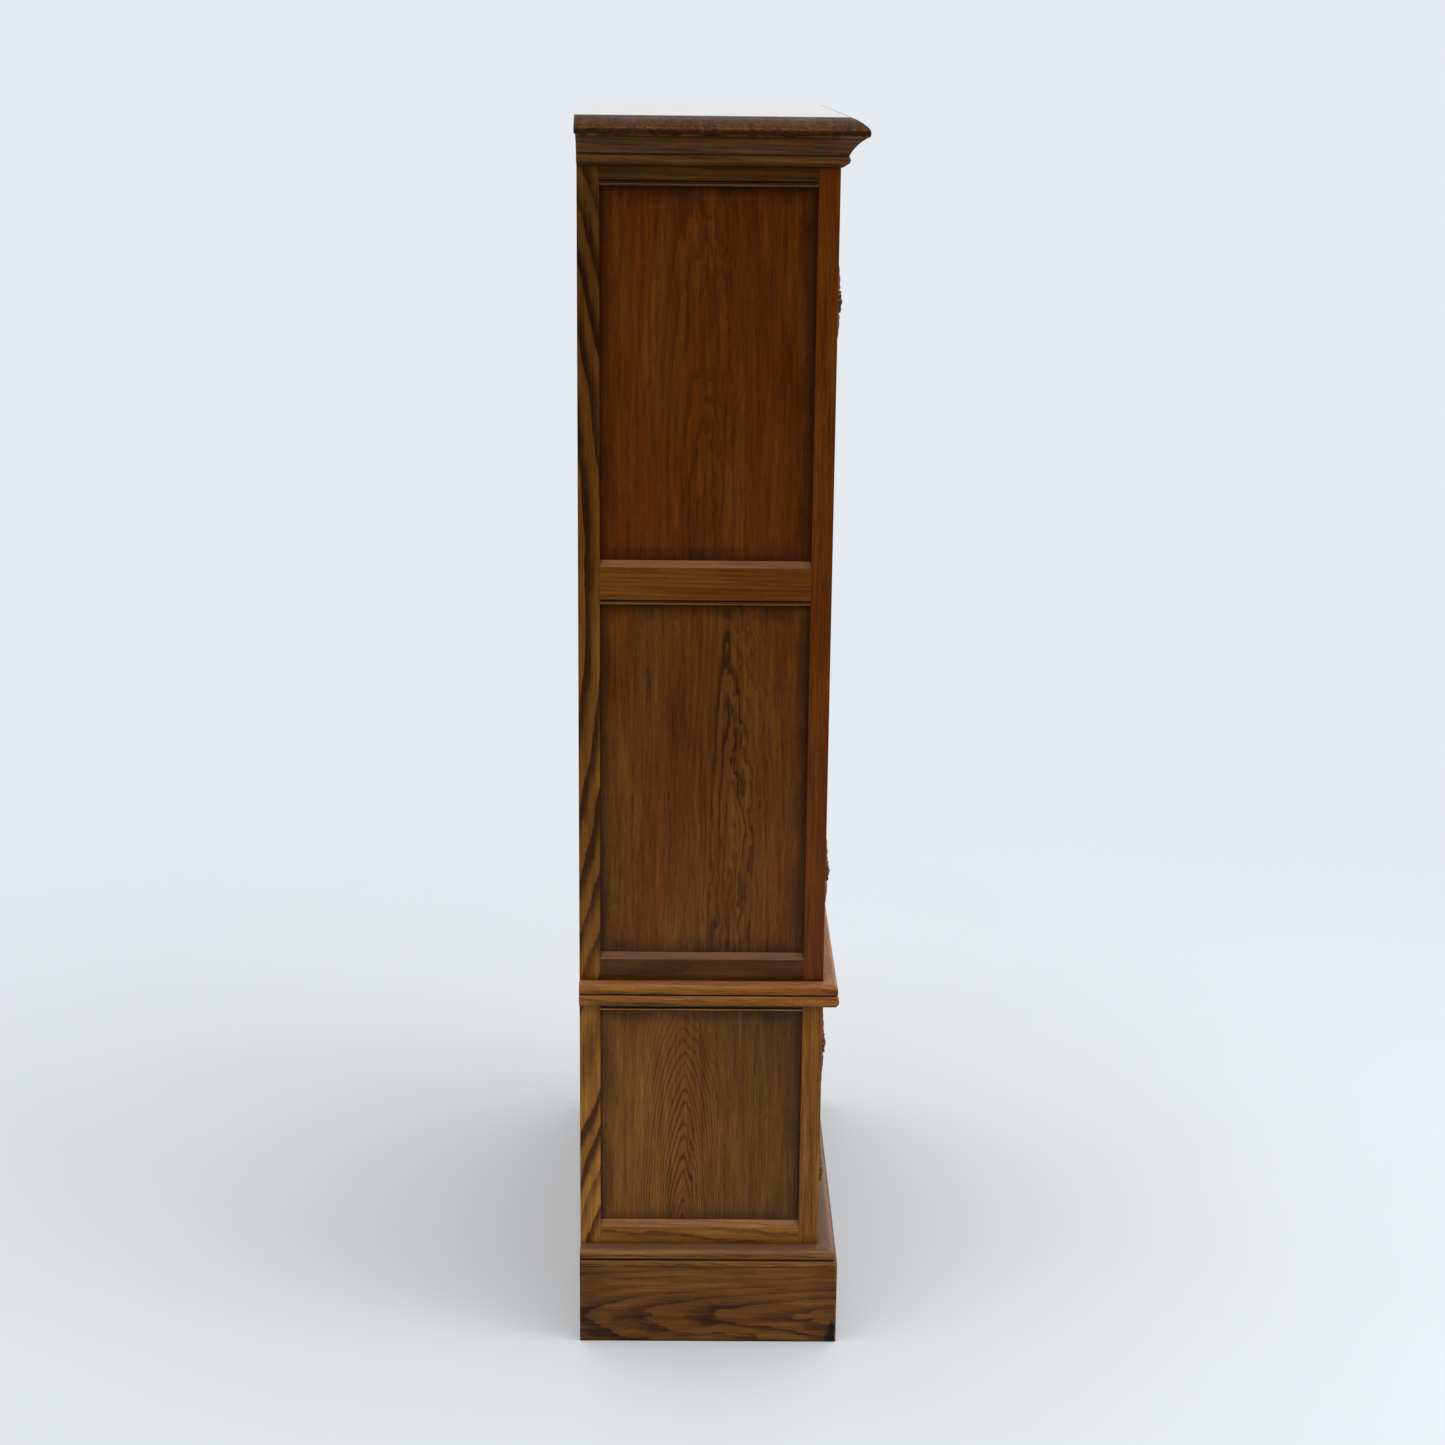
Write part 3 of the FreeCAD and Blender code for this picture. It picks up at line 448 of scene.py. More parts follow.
def quirk_shade_and_bead_highlight(s, z):
    """1 over most of a rail, with painted shade in the quirk of the bead at its lower edge, and a painted highlight on
    the bead.
    """
    above_sight = None
    for sight in (base_panel_high.z, middle_rail_low, side_panel_high.z):
        rise = s.less(z, sight - PANEL_TONGUE)
        above_sight = rise if above_sight is None else s.pick(s.above(rise, -10.0 * MM), above_sight, rise)
    gap = s.size(s.less(above_sight, QUIRK_RISE))
    # Painted highlight on the bead below the quirk
    bead_highlight = s.pick(s.above(above_sight, -3.0 * MM), 1.0, s.spread(above_sight, 3.0 * MM, 4.2 * MM, 1.9, 1.0))
    return s.times(s.spread(gap, 1.5 * MM, 2.8 * MM, 0.0, 1.0), bead_highlight)


def cut_rails(s, x, y, z):
    """Dark rails top and bottom of the upper case; a lighter, plainly ringed one in the middle and below."""
    upper = s.above(z, waist_high.z - 1.0 * MM)
    middle_rail = s.above(0.05, s.size(s.less(z, middle_rail_height)))
    return Cut(heart=(0.18, 0.45), lean=(0.02, 0.035), ring=s.pick(middle_rail, 9.0 * MM, 5.2 * MM), lines=0.26,
               streaks=0.60, gold=s.pick(middle_rail, 0.80, 0.40),
               tone=s.times(s.pick(upper, 1.70, s.pick(middle_rail, 0.62, 1.10)), quirk_shade_and_bead_highlight(s, z)),
               wobble=0.40, width=0.65)


def seam(s, z):
    """1 over most of a piece, and less at the line of old polish under the plinth moulding."""
    return s.spread(s.size(s.less(z, plinth_cap_low.z)), 0.4 * MM, 2.2 * MM, 0.30, 1.0)


# Painted shade in the quirks, at the feet and joins and under the nose, and painted highlights on the cornice bead and
# the top board's arris: (height above its foot, half width, tone), lengths in millimetres
CORNICE_SHADE_AND_HIGHLIGHT_LINES = ((1.0, 2.5, 0.50), (10.0, 4.5, 1.50), (16.5, 2.2, 0.35), (42.0, 5.0, 0.35))
WAIST_SHADE_LINES = ((0.5, 1.8, 0.40), (18.0, 2.2, 0.35))
PLINTH_CAP_SHADE_LINES = ((9.5, 3.2, 0.30), (25.0, 2.6, 0.35))
TOP_HIGHLIGHT_LINES = ((9.0, 1.6, 1.80),)


def lines_along(s, z, foot, lines):
    """1 over most of a moulding, and another tone along each line: painted shade below 1, painted highlight above it.
    """
    tone = 1.0
    for height, half_width, strength in lines:
        away = s.size(s.less(z, foot + height * MM))
        tone = s.times(tone, s.spread(away, 0.35 * half_width * MM, half_width * MM, strength, 1.0))
    return tone


def cut_mouldings(s, x, y, z):
    """Darker towards the top, so dark along the cornice and lighter at the waist and plinth, with a painted highlight
    along the top of the waist.
    """
    height = s.spread(z, 0.6, 1.6, 1.45, 0.78)
    # Painted highlight: lighter up the top of the waist moulding, where it is lit from above
    waist = s.spread(z, waist_high.z - 13.0 * MM, waist_high.z, 1.15, 1.50)
    cap = s.spread(z, plinth_cap_low.z + 8.0 * MM, plinth_cap_low.z + 9.0 * MM, 0.97, 0.68)
    part = s.pick(s.above(z, waist_high.z + 1.0 * MM), waist, 1.0)
    tone = s.times(height, s.pick(s.above(z, plinth_cap_high.z + 1.0 * MM), cap, part))
    for foot, lines in (
            (cornice_low.z, CORNICE_SHADE_AND_HIGHLIGHT_LINES), (waist_low.z, WAIST_SHADE_LINES), (plinth_cap_low.z, PLINTH_CAP_SHADE_LINES)):
        tone = s.times(tone, lines_along(s, z, foot, lines))
    return Cut(heart=(-0.10, 0.75), lean=(0.02, 0.05), ring=8.0 * MM, lines=0.22, streaks=0.85, gold=0.72,
               tone=s.times(tone, seam(s, z)), wobble=0.55, width=0.65)


def cut_top(s, x, y, z):
    """The top board: painted shade under its nose, darker along its upper edge, and a painted highlight along the arris
    between them.
    """
    # Painted shade under the nose
    nose = s.spread(z, cornice_high.z + 5.0 * MM, cornice_high.z + 9.0 * MM, 0.38, 0.60)
    edge = s.spread(z, cornice_high.z + 20.5 * MM, cornice_high.z + 23.0 * MM, 1.0, 0.30)
    tone = s.times(nose, edge, lines_along(s, z, cornice_high.z, TOP_HIGHLIGHT_LINES))
    return Cut(lean=(0.015, 0.02), lines=0.30, streaks=0.90, gold=0.5, tone=tone)


def cut_plinth(s, x, y, z):
    """A flat-sawn board on edge: a long flame low down and straight grain above it."""
    low = s.spread(z, 0.055, 0.085, 0.40, 0.20)
    ends = s.spread(s.size(y), 0.13, 0.195, 1.08, 0.76)
    corner = s.reach(s.less(y, plinth_cap_low.y), s.total(s.size(x), plinth_cap_low.x), s.times(z, 0.45))
    bruise = s.spread(s.total(corner, s.swing(s.noise(s.place, 90.0, 3.0, 0.6), 5.0 * MM)), 13.0 * MM, 19.0 * MM,
                      0.12, 1.0)
    return Cut(heart=(-0.405, 0.040), lean=(0.062, 0.012), ring=8.0 * MM, lines=low, streaks=0.62, gold=0.70,
               tone=s.times(ends, bruise, seam(s, z)), wobble=0.50, width=0.70)


BOARDS = Cut(lean=(0.015, 0.02), lines=0.30, streaks=0.80, gold=0.5)
DRAWER_FRONTS = Cut(heart=(-0.145, 0.260), lean=(0.045, 0.012), ring=7.0 * MM, lines=0.34, streaks=0.65, gold=0.60,
                    wobble=0.60, width=0.65)
CARVING = Cut(lines=0.15, streaks=0.60, gold=0.35, tone=0.78)
KNOBS = Cut(lines=0.12, streaks=0.45, gold=0.30, tone=0.48)
INSIDE = Cut(heart=(0.2, 0.3), lean=(0.02, 0.02), ring=5.0 * MM, lines=0.30, streaks=0.75, gold=0.95, tone=1.05)

# Where boards begin and how far apart they lie along an axis
WHOLE = (-5.0, 10.0)
HALVES = (-5.0, 5.0)
DRAWER_HEIGHTS = (0.157, 0.1965)
MOULDING_HEIGHTS = (0.05, 0.45)


# ---- metals, glass and floor

def brass(name):
    """Lacquer gone in patches: bright where hands rub it, brown in the hollows."""
    s = Shader(name)
    tarnish = s.noise(s.place, 170.0, 4.0, 0.65)
    colour = s.ramp(tarnish, [(0.30, (0.20, 0.115, 0.035)), (0.52, (0.47, 0.31, 0.11)), (0.75, (0.70, 0.50, 0.20))])
    scratches = s.grain(s.split(s.place), 2600.0, 300.0, 2.0, 0.5)
    colour = s.mix(s.spread(s.corners(5.0 * MM), 0.15, 0.85, 0.0, 0.85), colour, (0.055, 0.030, 0.012))
    rough = s.total(s.spread(tarnish, 0.3, 0.7, 0.40, 0.20), s.swing(scratches, 0.05))
    return s.set(Base_Color=colour, Metallic=1.0, Roughness=rough,
                 Normal=s.bump(s.total(tarnish, s.times(scratches, 0.4)), 0.18, 0.2 * MM))


def lead(name):
    """Milled lead: dull grey with a whitish bloom and the marks of the knife."""
    s = Shader(name)
    bloom = s.noise(s.place, 110.0, 4.0, 0.6)
    colour = s.ramp(bloom, [(0.30, (0.070, 0.073, 0.078)), (0.55, (0.130, 0.134, 0.140)), (0.78, (0.27, 0.275, 0.28))])
    colour = s.mix(s.spread(s.corners(4.0 * MM), 0.2, 0.9, 0.0, 0.7), colour, (0.030, 0.031, 0.032))
    return s.set(Base_Color=colour, Metallic=0.85, Roughness=s.spread(bloom, 0.3, 0.7, 0.38, 0.62),
                 Normal=s.bump(bloom, 0.30, 0.3 * MM))


def clear_glass(name):
    """Drawn sheet glass, very slightly wavy from top to bottom."""
    s = Shader(name)
    wave = s.grain(s.split(s.place), 7.0, 16.0, 2.0, 0.5)
    tint = s.ramp(wave, [(0.3, (0.92, 0.955, 0.935)), (0.7, (0.95, 0.97, 0.955))])
    return s.set(Base_Color=tint, Roughness=s.spread(wave, 0.3, 0.7, 0.0, 0.025),
                 Transmission_Weight=1.0, IOR=1.5, Specular_IOR_Level=0.35, Normal=s.bump(wave, 0.2, 1.2 * MM))


STUDIO = (0.785, 0.8245, 0.857)
SKY_STRENGTH = 1.34
HORIZON_STRENGTH = 1.12
FLOOR_RADIUS = 3.1
FLOOR_PAINTED = (1.2, 2.9)  # where the paint begins and ends its change to the studio's colour


def floor_paint(name):
    """Matt paint near the object, which runs out into the colour of the studio all round."""
    s = Shader(name)
    mottle = s.noise(s.place, 2.0, 3.0, 0.5)
    colour = s.ramp(mottle, [(0.3, shade(STUDIO, 0.965)), (0.7, shade(STUDIO, 0.98))])
    s.set(Base_Color=colour, Roughness=1.0, Specular_IOR_Level=0.0)
    glow = s.add("ShaderNodeEmission")
    s.feed(glow.inputs["Color"], (*STUDIO, 1.0))
    away = s.reach(*s.split(s.place)[:2])
    painted = s.blend(s.spread(away, *FLOOR_PAINTED), s.principled.outputs[0], glow.outputs[0])
    s.feed(s.output.inputs["Surface"], painted)
    return s.material


# ---- shapes

def add_object(name, data):
    item = bpy.data.objects.new(name, data)
    bpy.context.scene.collection.objects.link(item)
    return item


def add_mesh(name, shape, material):
    mesh = bpy.data.meshes.new(name)
    shape.to_mesh(mesh)
    shape.free()
    mesh.materials.append(material)
    return add_object(name, mesh)


def finish_piece(name, shape, material, body, replaced=None, smooth=40.0, softened=None):
    """Turns a bmesh into a piece of the bookcase that rides on a body."""
    bmesh.ops.remove_doubles(shape, verts=shape.verts, dist=0.001 * MM)
    bmesh.ops.recalc_face_normals(shape, faces=shape.faces)
    piece = add_mesh(name, shape, material)
    soften(piece, softened, smooth)
    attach(piece, body)
    if replaced is not None:
        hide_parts(replaced)
    return piece


def smooth_group():
    """Geometry nodes that shade a mesh smooth, except across edges sharper than the given angle."""
    group = bpy.data.node_groups.new("smooth_by_angle", "GeometryNodeTree")
    group.interface.new_socket("Geometry", in_out="INPUT", socket_type="NodeSocketGeometry")
    angle_input = group.interface.new_socket("Angle", in_out="INPUT", socket_type="NodeSocketFloat")
    group.interface.new_socket("Geometry", in_out="OUTPUT", socket_type="NodeSocketGeometry")
    s = Nodes(group)
    start = s.add("NodeGroupInput")
    compare = s.add("FunctionNodeCompare", data_type="FLOAT", operation="LESS_EQUAL")
    s.feed(compare.inputs["A"], s.add("GeometryNodeInputMeshEdgeAngle").outputs["Unsigned Angle"])
    s.feed(compare.inputs["B"], start.outputs["Angle"])
    shaded = start.outputs["Geometry"]
    for domain in ("FACE", "EDGE"):
        node = s.add("GeometryNodeSetShadeSmooth", domain=domain)
        s.feed(node.inputs["Geometry"], shaded)
        shaded = node.outputs["Geometry"]
    s.feed(node.inputs["Shade Smooth"], compare.outputs["Result"])
    s.feed(s.add("NodeGroupOutput").inputs["Geometry"], shaded)
    return group, angle_input.identifier


SMOOTH, SMOOTH_ANGLE = smooth_group()


def soften(item, width=None, smooth=40.0):
    """Takes the sharpness off arrises, as sandpaper does, and shades the curves smooth."""
    weld = item.modifiers.new("weld", "WELD")
    weld.merge_threshold = 0.005 * MM
    if width is not None:
        bevel = item.modifiers.new("arris", "BEVEL")
        bevel.width = width
        bevel.segments = 2
        bevel.limit_method = "ANGLE"
        bevel.angle_limit = math.radians(38.0)
        bevel.use_clamp_overlap = True
    shading = item.modifiers.new("smooth", "NODES")
    shading.node_group = SMOOTH
    shading[SMOOTH_ANGLE] = math.radians(smooth)
    weighted = item.modifiers.new("normals", "WEIGHTED_NORMAL")
    weighted.keep_sharp = True


def skin(shape, rings, closed=True):
    """Joins each row of points to the next with four-sided faces. closed rows run all the way round."""
    for lower, upper in zip(rings, rings[1:]):
        count = len(lower)
        for index in range(count if closed else count - 1):
            ahead = (index + 1) % count
            shape.faces.new((lower[index], lower[ahead], upper[ahead], upper[index]))


def prism(shape, outline, start, end, place):
    """A closed solid: the outline run from start to end. place(across, up, along) gives a point."""
    rings = [[shape.verts.new(place(across, up, along)) for across, up in outline] for along in (start, end)]
    skin(shape, rings)
    shape.faces.new(rings[0][::-1])
    shape.faces.new(rings[1])


def mitred_ring(shape, section, low, high):
    """A moulding run round a rectangle in the XZ plane. section points are (in from the edge, y)."""
    rings = []
    for inwards, depth in section:
        rings.append([shape.verts.new((x, depth, z)) for x, z in (
            (low.x + inwards, low.z + inwards), (high.x - inwards, low.z + inwards),
            (high.x - inwards, high.z - inwards), (low.x + inwards, high.z - inwards))])
    skin(shape, rings + rings[:1])


def arc(centre, radius, first, last, steps):
    """Points round part of a circle, angles in degrees."""
    points = []
    for step in range(steps + 1):
        angle = math.radians(first + (last - first) * step / steps)
        points.append((centre[0] + radius * math.cos(angle), centre[1] + radius * math.sin(angle)))
    return points


def lathe(shape, outline, centre, segments=64):
    """A turned solid whose axis runs along -Y. outline points are (radius, out from the face)."""
    rings = []
    for radius, out in outline:
        turns = [math.tau * step / segments for step in range(segments if radius else 1)]
        rings.append([shape.verts.new((centre.x + radius * math.cos(turn), centre.y - out,
                                       centre.z + radius * math.sin(turn))) for turn in turns])
    for inner, outer in zip(rings, rings[1:]):
        for step in range(segments):
            ahead = (step + 1) % segments
            corners = [inner[step % len(inner)], inner[ahead % len(inner)],
                       outer[ahead % len(outer)], outer[step % len(outer)]]
            shape.faces.new(list(dict.fromkeys(corners)))


# ---- carved motifs

LEAF_ROWS = 34
LEAF_COLUMNS = 10
LOBES = 4
PETALS = 8


def leaf_half_width(share):
    """Half width of the leaf from the rosette (0) to the tip (1), as a share of its widest."""
    swell = math.sin(math.pi * min(1.0, 0.20 + 0.80 * share) ** 0.85)
    lobes = 1.0 - 0.20 * abs(math.cos(math.pi * LOBES * share)) ** 3.0
    return swell * lobes * (1.0 - share ** 8)


def leaf_height_at(share, across):
    """Height of the carving: rounded lobes with a cut midrib and side veins."""
    crown = 1.0 - abs(across) ** 2.6
    sunk = min(1.0, 0.25 + max(0.0, share - 0.24) / 0.16)
    rise = (0.55 + 0.45 * math.cos(math.pi * share * 0.5)) * (1.0 - share ** 6 * 0.7) * sunk
    midrib = 1.0 - 0.55 * math.exp(-(across / 0.10) ** 2)
    veins = 1.0 + 0.22 * math.cos(math.tau * (LOBES * share - 0.9 * abs(across)))
    return crown ** 0.55 * rise * midrib * veins / 1.22


def add_leaf(shape, centre, reach, half_width, height, direction):
    """One carved leaf on the face of a post, its stalk under the rosette and its tip up or down."""
    rows = []
    start = 0.10
    for row in range(LEAF_ROWS + 1):
        share = start + (1.0 - start) * row / LEAF_ROWS
        wide = max(half_width * leaf_half_width(share), 0.15 * MM)
        rise = centre.z + direction * reach * share
        line = []
        for column in range(-LEAF_COLUMNS, LEAF_COLUMNS + 1):
            across = column / LEAF_COLUMNS
            out = height * leaf_height_at(share, across) if abs(across) < 1.0 else 0.0
            line.append(shape.verts.new((centre.x + wide * across, FRONT - out, rise)))
        rows.append(line)
    skin(shape, rows, closed=False)
    rim = [line[0] for line in rows] + rows[-1][1:] + [line[-1] for line in rows[-2::-1]] + rows[0][-2:0:-1]
    foot = [shape.verts.new((vert.co.x, FRONT, vert.co.z)) for vert in rim]
    skin(shape, [rim, foot])
    shape.faces.new(foot)


def add_rosette(shape, centre, radius, height):
    """A round flower: two rows of petals about a button, with a rim that follows the petals."""
    segments = 12 * PETALS
    steps = 16
    rings = []
    for step in range(1, steps + 1):
        share = step / steps
        ring = []
        for segment in range(segments):
            angle = math.tau * segment / segments
            petal = abs(math.cos(PETALS * angle / 2.0))
            inner = abs(math.sin(PETALS * angle / 2.0))
            reach = radius * share * (1.0 - 0.13 * share * (1.0 - petal) ** 1.5)
            out = height * rosette_profile(share, petal, inner) if step < steps else 0.0
            ring.append(shape.verts.new((centre.x + reach * math.cos(angle), FRONT - out,
                                         centre.z + reach * math.sin(angle))))
        rings.append(ring)
    middle = shape.verts.new((centre.x, FRONT - height, centre.z))
    for segment in range(segments):
        shape.faces.new((middle, rings[0][segment], rings[0][(segment + 1) % segments]))
    skin(shape, rings)
    shape.faces.new(rings[-1])


def rosette_profile(share, petal, inner):
    """Height of the flower as a share of its greatest: button, inner petals, outer petals, edge."""
    if share < 0.26:
        return 0.80 + 0.20 * math.sqrt(max(0.0, 1.0 - (share / 0.26) ** 2))
    if share < 0.56:
        along = (share - 0.26) / 0.30
        return (0.50 + 0.30 * math.sin(math.pi * along)) * (0.72 + 0.28 * inner)
    along = (share - 0.56) / 0.44
    return (0.34 + 0.40 * math.sin(math.pi * min(1.0, along * 0.72 + 0.10))) * (0.62 + 0.38 * petal)


def make_motifs(material):
    for number, (low, high) in enumerate(solids("carved_motifs")):
        centre = (low + high) / 2.0
        depth = high.y - low.y
        half_length = (high.z - low.z) / 2.0
        half_width = (high.x - low.x) / 2.0
        shape = bmesh.new()
        for direction in (-1.0, 1.0):
            add_leaf(shape, centre, half_length, half_width * 0.86, depth * 0.62, direction)
        add_rosette(shape, centre, half_width * 0.90, depth)
        side_word = "left" if centre.x < 0.0 else "right"
        finish_piece(f"carved_motif_{side_word}_{number // 2 + 1}", shape, material, "case",
                     "carved_motifs", smooth=60.0)


# ---- knobs, lead, doors and drawer fronts

# The neck and the crown of a knob, as shares of its (radius, length)
NECK = ((0.62, 0.12), (0.46, 0.16), (0.37, 0.24), (0.34, 0.34), (0.38, 0.44), (0.50, 0.51))
CROWN = ((0.70, 0.850), (0.66, 0.835), (0.62, 0.865), (0.48, 0.925), (0.30, 0.970), (0.14, 0.990), (0.0, 1.0))


def knob_outline(length, radius):
    """A turned knob on a round plate: plate, hollow neck, full edge, and a crown with a fine ring."""
    plate = arc((0.74 * radius, 0.05 * length), 0.05 * length, 0.0, 90.0, 5)
    edge = [(0.78 + 0.20 * math.cos(angle), 0.68 + 0.15 * math.sin(angle))
            for angle in (math.radians(-80.0 + 160.0 * step / 10) for step in range(11))]
    turned = [(radius * share, length * out) for share, out in (*NECK, *edge, *CROWN)]
    return [(0.0, 0.0), (0.79 * radius, 0.0), *plate, *turned]


def make_knobs(node, body, material):
    for number, (low, high) in enumerate(solids(node)):
        middle = (low + high) / 2.0
        shape = bmesh.new()
        outline = knob_outline(high.y - low.y, high.x - middle.x)
        lathe(shape, outline, Vector((middle.x, high.y, middle.z)))
        side_word = ("left", "right")[number % 2]
        finish_piece(f"{body}_knob_{side_word}", shape, material, body, node, smooth=50.0)


SAME_EDGE = 0.05 * MM
CAME_HEIGHT = 0.86
SOLDER_RADIUS = 0.66
# A flat blob of solder, as shares of its (radius, height)
SOLDER = ((0.0, 0.0), (1.0, 0.0), (0.97, 0.5), (0.72, 0.86), (0.35, 0.98), (0.0, 1.0))


def came_section(width, height):
    """A lead strip seen end on: flat on the glass, low and round in front."""
    half = width / 2.0
    angles = [math.pi * step / 8 for step in range(9)]
    round_face = [(-half * math.cos(angle), height * (0.35 + 0.65 * math.sin(angle))) for angle in angles]
    return [(-half, 0.0), *round_face, (half, 0.0)]


def make_cames(number, material):
    """The lattice of lead on one door, with a flat blob of solder where the strips cross."""
    node = f"door_{number}_cames"
    low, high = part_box(node)
    height = high.y - low.y
    columns, rows, width = came_grid(node)
    shape = bmesh.new()
    section = came_section(width, height * CAME_HEIGHT)
    for x in columns:
        prism(shape, section, low.z, high.z, lambda across, up, along: (x + across, high.y - up, along))
    for z in rows:
        prism(shape, section, low.x, high.x, lambda across, up, along: (along, high.y - up, z - across))
    blob = [(width * SOLDER_RADIUS * radius, height * up) for radius, up in SOLDER]
    for x in columns[1:-1]:
        for z in rows[1:-1]:
            lathe(shape, blob, Vector((x, high.y, z)), segments=20)
    finish_piece(f"door_{number}_lead", shape, material, f"door_{number}", node, smooth=50.0)


def came_grid(node):
    """Where the lead strips lie and how wide they are, read from the corners of the CAD lattice."""
    places = []
    for axis in (0, 2):
        edges = []
        for value in sorted({round(vert.co[axis], 5) for vert in nodes[node].data.vertices}):
            if not edges or value - edges[-1] > SAME_EDGE:
                edges.append(value)
        places.append([(first + second) / 2.0 for first, second in zip(edges[0::2], edges[1::2])])
    return (*places, edges[1] - edges[0])


# The edge of the top board, as (in from the edge, up from the underside), in millimetres
TOP_EDGE = ((1.2, 0.0), (0.4, 1.5), (0.0, 3.9), (0.2, 5.9), (0.9, 8.2), (2.2, 10.2), (3.8, 11.9), (6.0, 13.8),
            (8.5, 15.6), (11.5, 17.6), (14.8, 19.6), (18.5, 21.6), (22.5, 23.3), (26.5, 24.5), (30.5, 25.0))


def make_top_board(material):
    """The top board, with its front and ends worked to a long round that turns under at the nose."""
    low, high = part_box("cornice_top_board")
    shape = bmesh.new()
    rings = []
    for inset, rise in TOP_EDGE:
        inset *= MM
        rings.append([shape.verts.new((x, y, low.z + rise * MM)) for x, y in (
            (low.x + inset, low.y + inset), (high.x - inset, low.y + inset),
            (high.x - inset, high.y), (low.x + inset, high.y))])
    skin(shape, rings)
    shape.faces.new(rings[0][::-1])
    shape.faces.new(rings[-1])
    finish_piece("top_board", shape, material, "case", "cornice_top_board", smooth=35.0)


BACK_BOARDS = 6
BACK_BOARD_GAP = 0.15 * MM
BACK_BOARD_CHAMFER = 1.6 * MM


def make_back_boards(node, material):
    """Upright boards with chamfered edges, which close the back of one stage."""
    low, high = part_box(node)
    width = (high.x - low.x) / BACK_BOARDS
    chamfer = BACK_BOARD_CHAMFER
    for number in range(BACK_BOARDS):
        left = low.x + width * number + BACK_BOARD_GAP
        right = low.x + width * (number + 1) - BACK_BOARD_GAP
        outline = [(left, low.y + chamfer), (left + chamfer, low.y), (right - chamfer, low.y),
                   (right, low.y + chamfer), (right, high.y - chamfer), (right - chamfer, high.y),
                   (left + chamfer, high.y), (left, high.y - chamfer)]
        shape = bmesh.new()
        prism(shape, outline, low.z, high.z, lambda across, up, along: (across, up, along))
        finish_piece(f"{node}_{number + 1}", shape, material, "case", node, smooth=30.0)


def add_framed_moulding(name, section, low, high, inset, material, body, replaced=None):
    """A moulding run round a rectangle that lies this far inside the box from low to high."""
    shape = bmesh.new()
    margin = Vector((inset, 0.0, inset))
    mitred_ring(shape, section, low + margin, high - margin)
    finish_piece(name, shape, material, body, replaced, smooth=35.0)


DOOR_FLAT = 25.0 * MM  # width of the flat part of a door's stiles and rails
DOOR_ROUND = 4.0 * MM  # round on the front upper edge of a door
DOOR_JOINT = 0.08 * MM  # gap between rail and stile
GLASS_SIGHT = 9.0 * MM  # how far the glazing mouldings cover the glass
GLASS_GAP = 0.05 * MM
MOULDING_FILLET = 1.6 * MM
MOULDING_STEP = 0.9 * MM
BEAD_CHAMFER = 3.0 * MM
DOOR_ARRIS = 0.6 * MM


def make_door_frame(number, upright, level):
    """Two stiles and two rails with mitred mouldings round the glass, in front and behind."""
    node = f"door_{number}_frame"
    body = f"door_{number}"
    low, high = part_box(node)
    glass_low, glass_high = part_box(f"{body}_glass")

    def board(name, bottom, top, rounded, start, end, material):
        corner = [(low.y, top)]
        if rounded:
            corner = arc((low.y + DOOR_ROUND, top - DOOR_ROUND), DOOR_ROUND, 180.0, 90.0, 6)
        outline = [(high.y, bottom), (low.y, bottom), *corner, (high.y, top)]
        shape = bmesh.new()
        prism(shape, outline, start, end, lambda across, up, along: (along, across, up))
        finish_piece(f"{body}_{name}", shape, material, body, node, softened=DOOR_ARRIS)

    flat = DOOR_FLAT
    rail = (low.x + flat + DOOR_JOINT, high.x - flat - DOOR_JOINT, level)
    board("stile_left", low.z, high.z, True, low.x, low.x + flat, upright)
    board("stile_right", low.z, high.z, True, high.x - flat, high.x, upright)
    board("rail_top", high.z - flat, high.z, True, *rail)
    board("rail_bottom", low.z, low.z + flat, False, *rail)

    face = low.y + 0.5 * MM
    seat = glass_low.y - GLASS_GAP
    fillet = MOULDING_FILLET
    step = face + MOULDING_STEP
    quarter = [math.radians(90.0 * index / 8) for index in range(1, 9)]
    ovolo = [(fillet + (GLASS_SIGHT - fillet) * math.sin(angle),
              step + (glass_low.y - face - 2.2 * MM) * (1.0 - math.cos(angle))) for angle in quarter]
    front = [(0.0, seat), (0.0, face), (fillet, face), (fillet, step), *ovolo, (GLASS_SIGHT, seat)]
    rear = [(0.0, glass_high.y + GLASS_GAP), (0.0, high.y), (GLASS_SIGHT - BEAD_CHAMFER, high.y),
            (GLASS_SIGHT, high.y - BEAD_CHAMFER), (GLASS_SIGHT, glass_high.y + GLASS_GAP)]
    add_framed_moulding(f"{body}_glass_moulding", front, low, high, flat, level, body, node)
    add_framed_moulding(f"{body}_glass_bead", rear, low, high, flat, level, body, node)


DRAWER_FIELD_INSET = 19.0 * MM
DRAWER_MOULDING_WIDTH = 11.0 * MM
DRAWER_MOULDING_HEIGHT = 4.5 * MM
# The drawer moulding's profile, as shares of its (width, height)
DRAWER_PROFILE = ((0.00, 0.34), (0.10, 0.34), (0.14, 0.62), (0.24, 0.90), (0.38, 1.00), (0.52, 0.92), (0.64, 0.66),
                  (0.72, 0.40), (0.80, 0.34), (1.00, 0.20))


def make_drawer_moulding(number, material):
    """A raised moulding that frames a field on each drawer front."""
    body = f"drawer_{number}"
    low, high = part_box(f"{body}_front")
    foot = low.y + 0.02 * MM
    crest = [(DRAWER_MOULDING_WIDTH * share, low.y - DRAWER_MOULDING_HEIGHT * height)
             for share, height in DRAWER_PROFILE]
    section = [(0.0, foot), *crest, (DRAWER_MOULDING_WIDTH, foot)]
    add_framed_moulding(f"{body}_moulding", section, low, high, DRAWER_FIELD_INSET, material, body)


# ---- dressing the CAD nodes

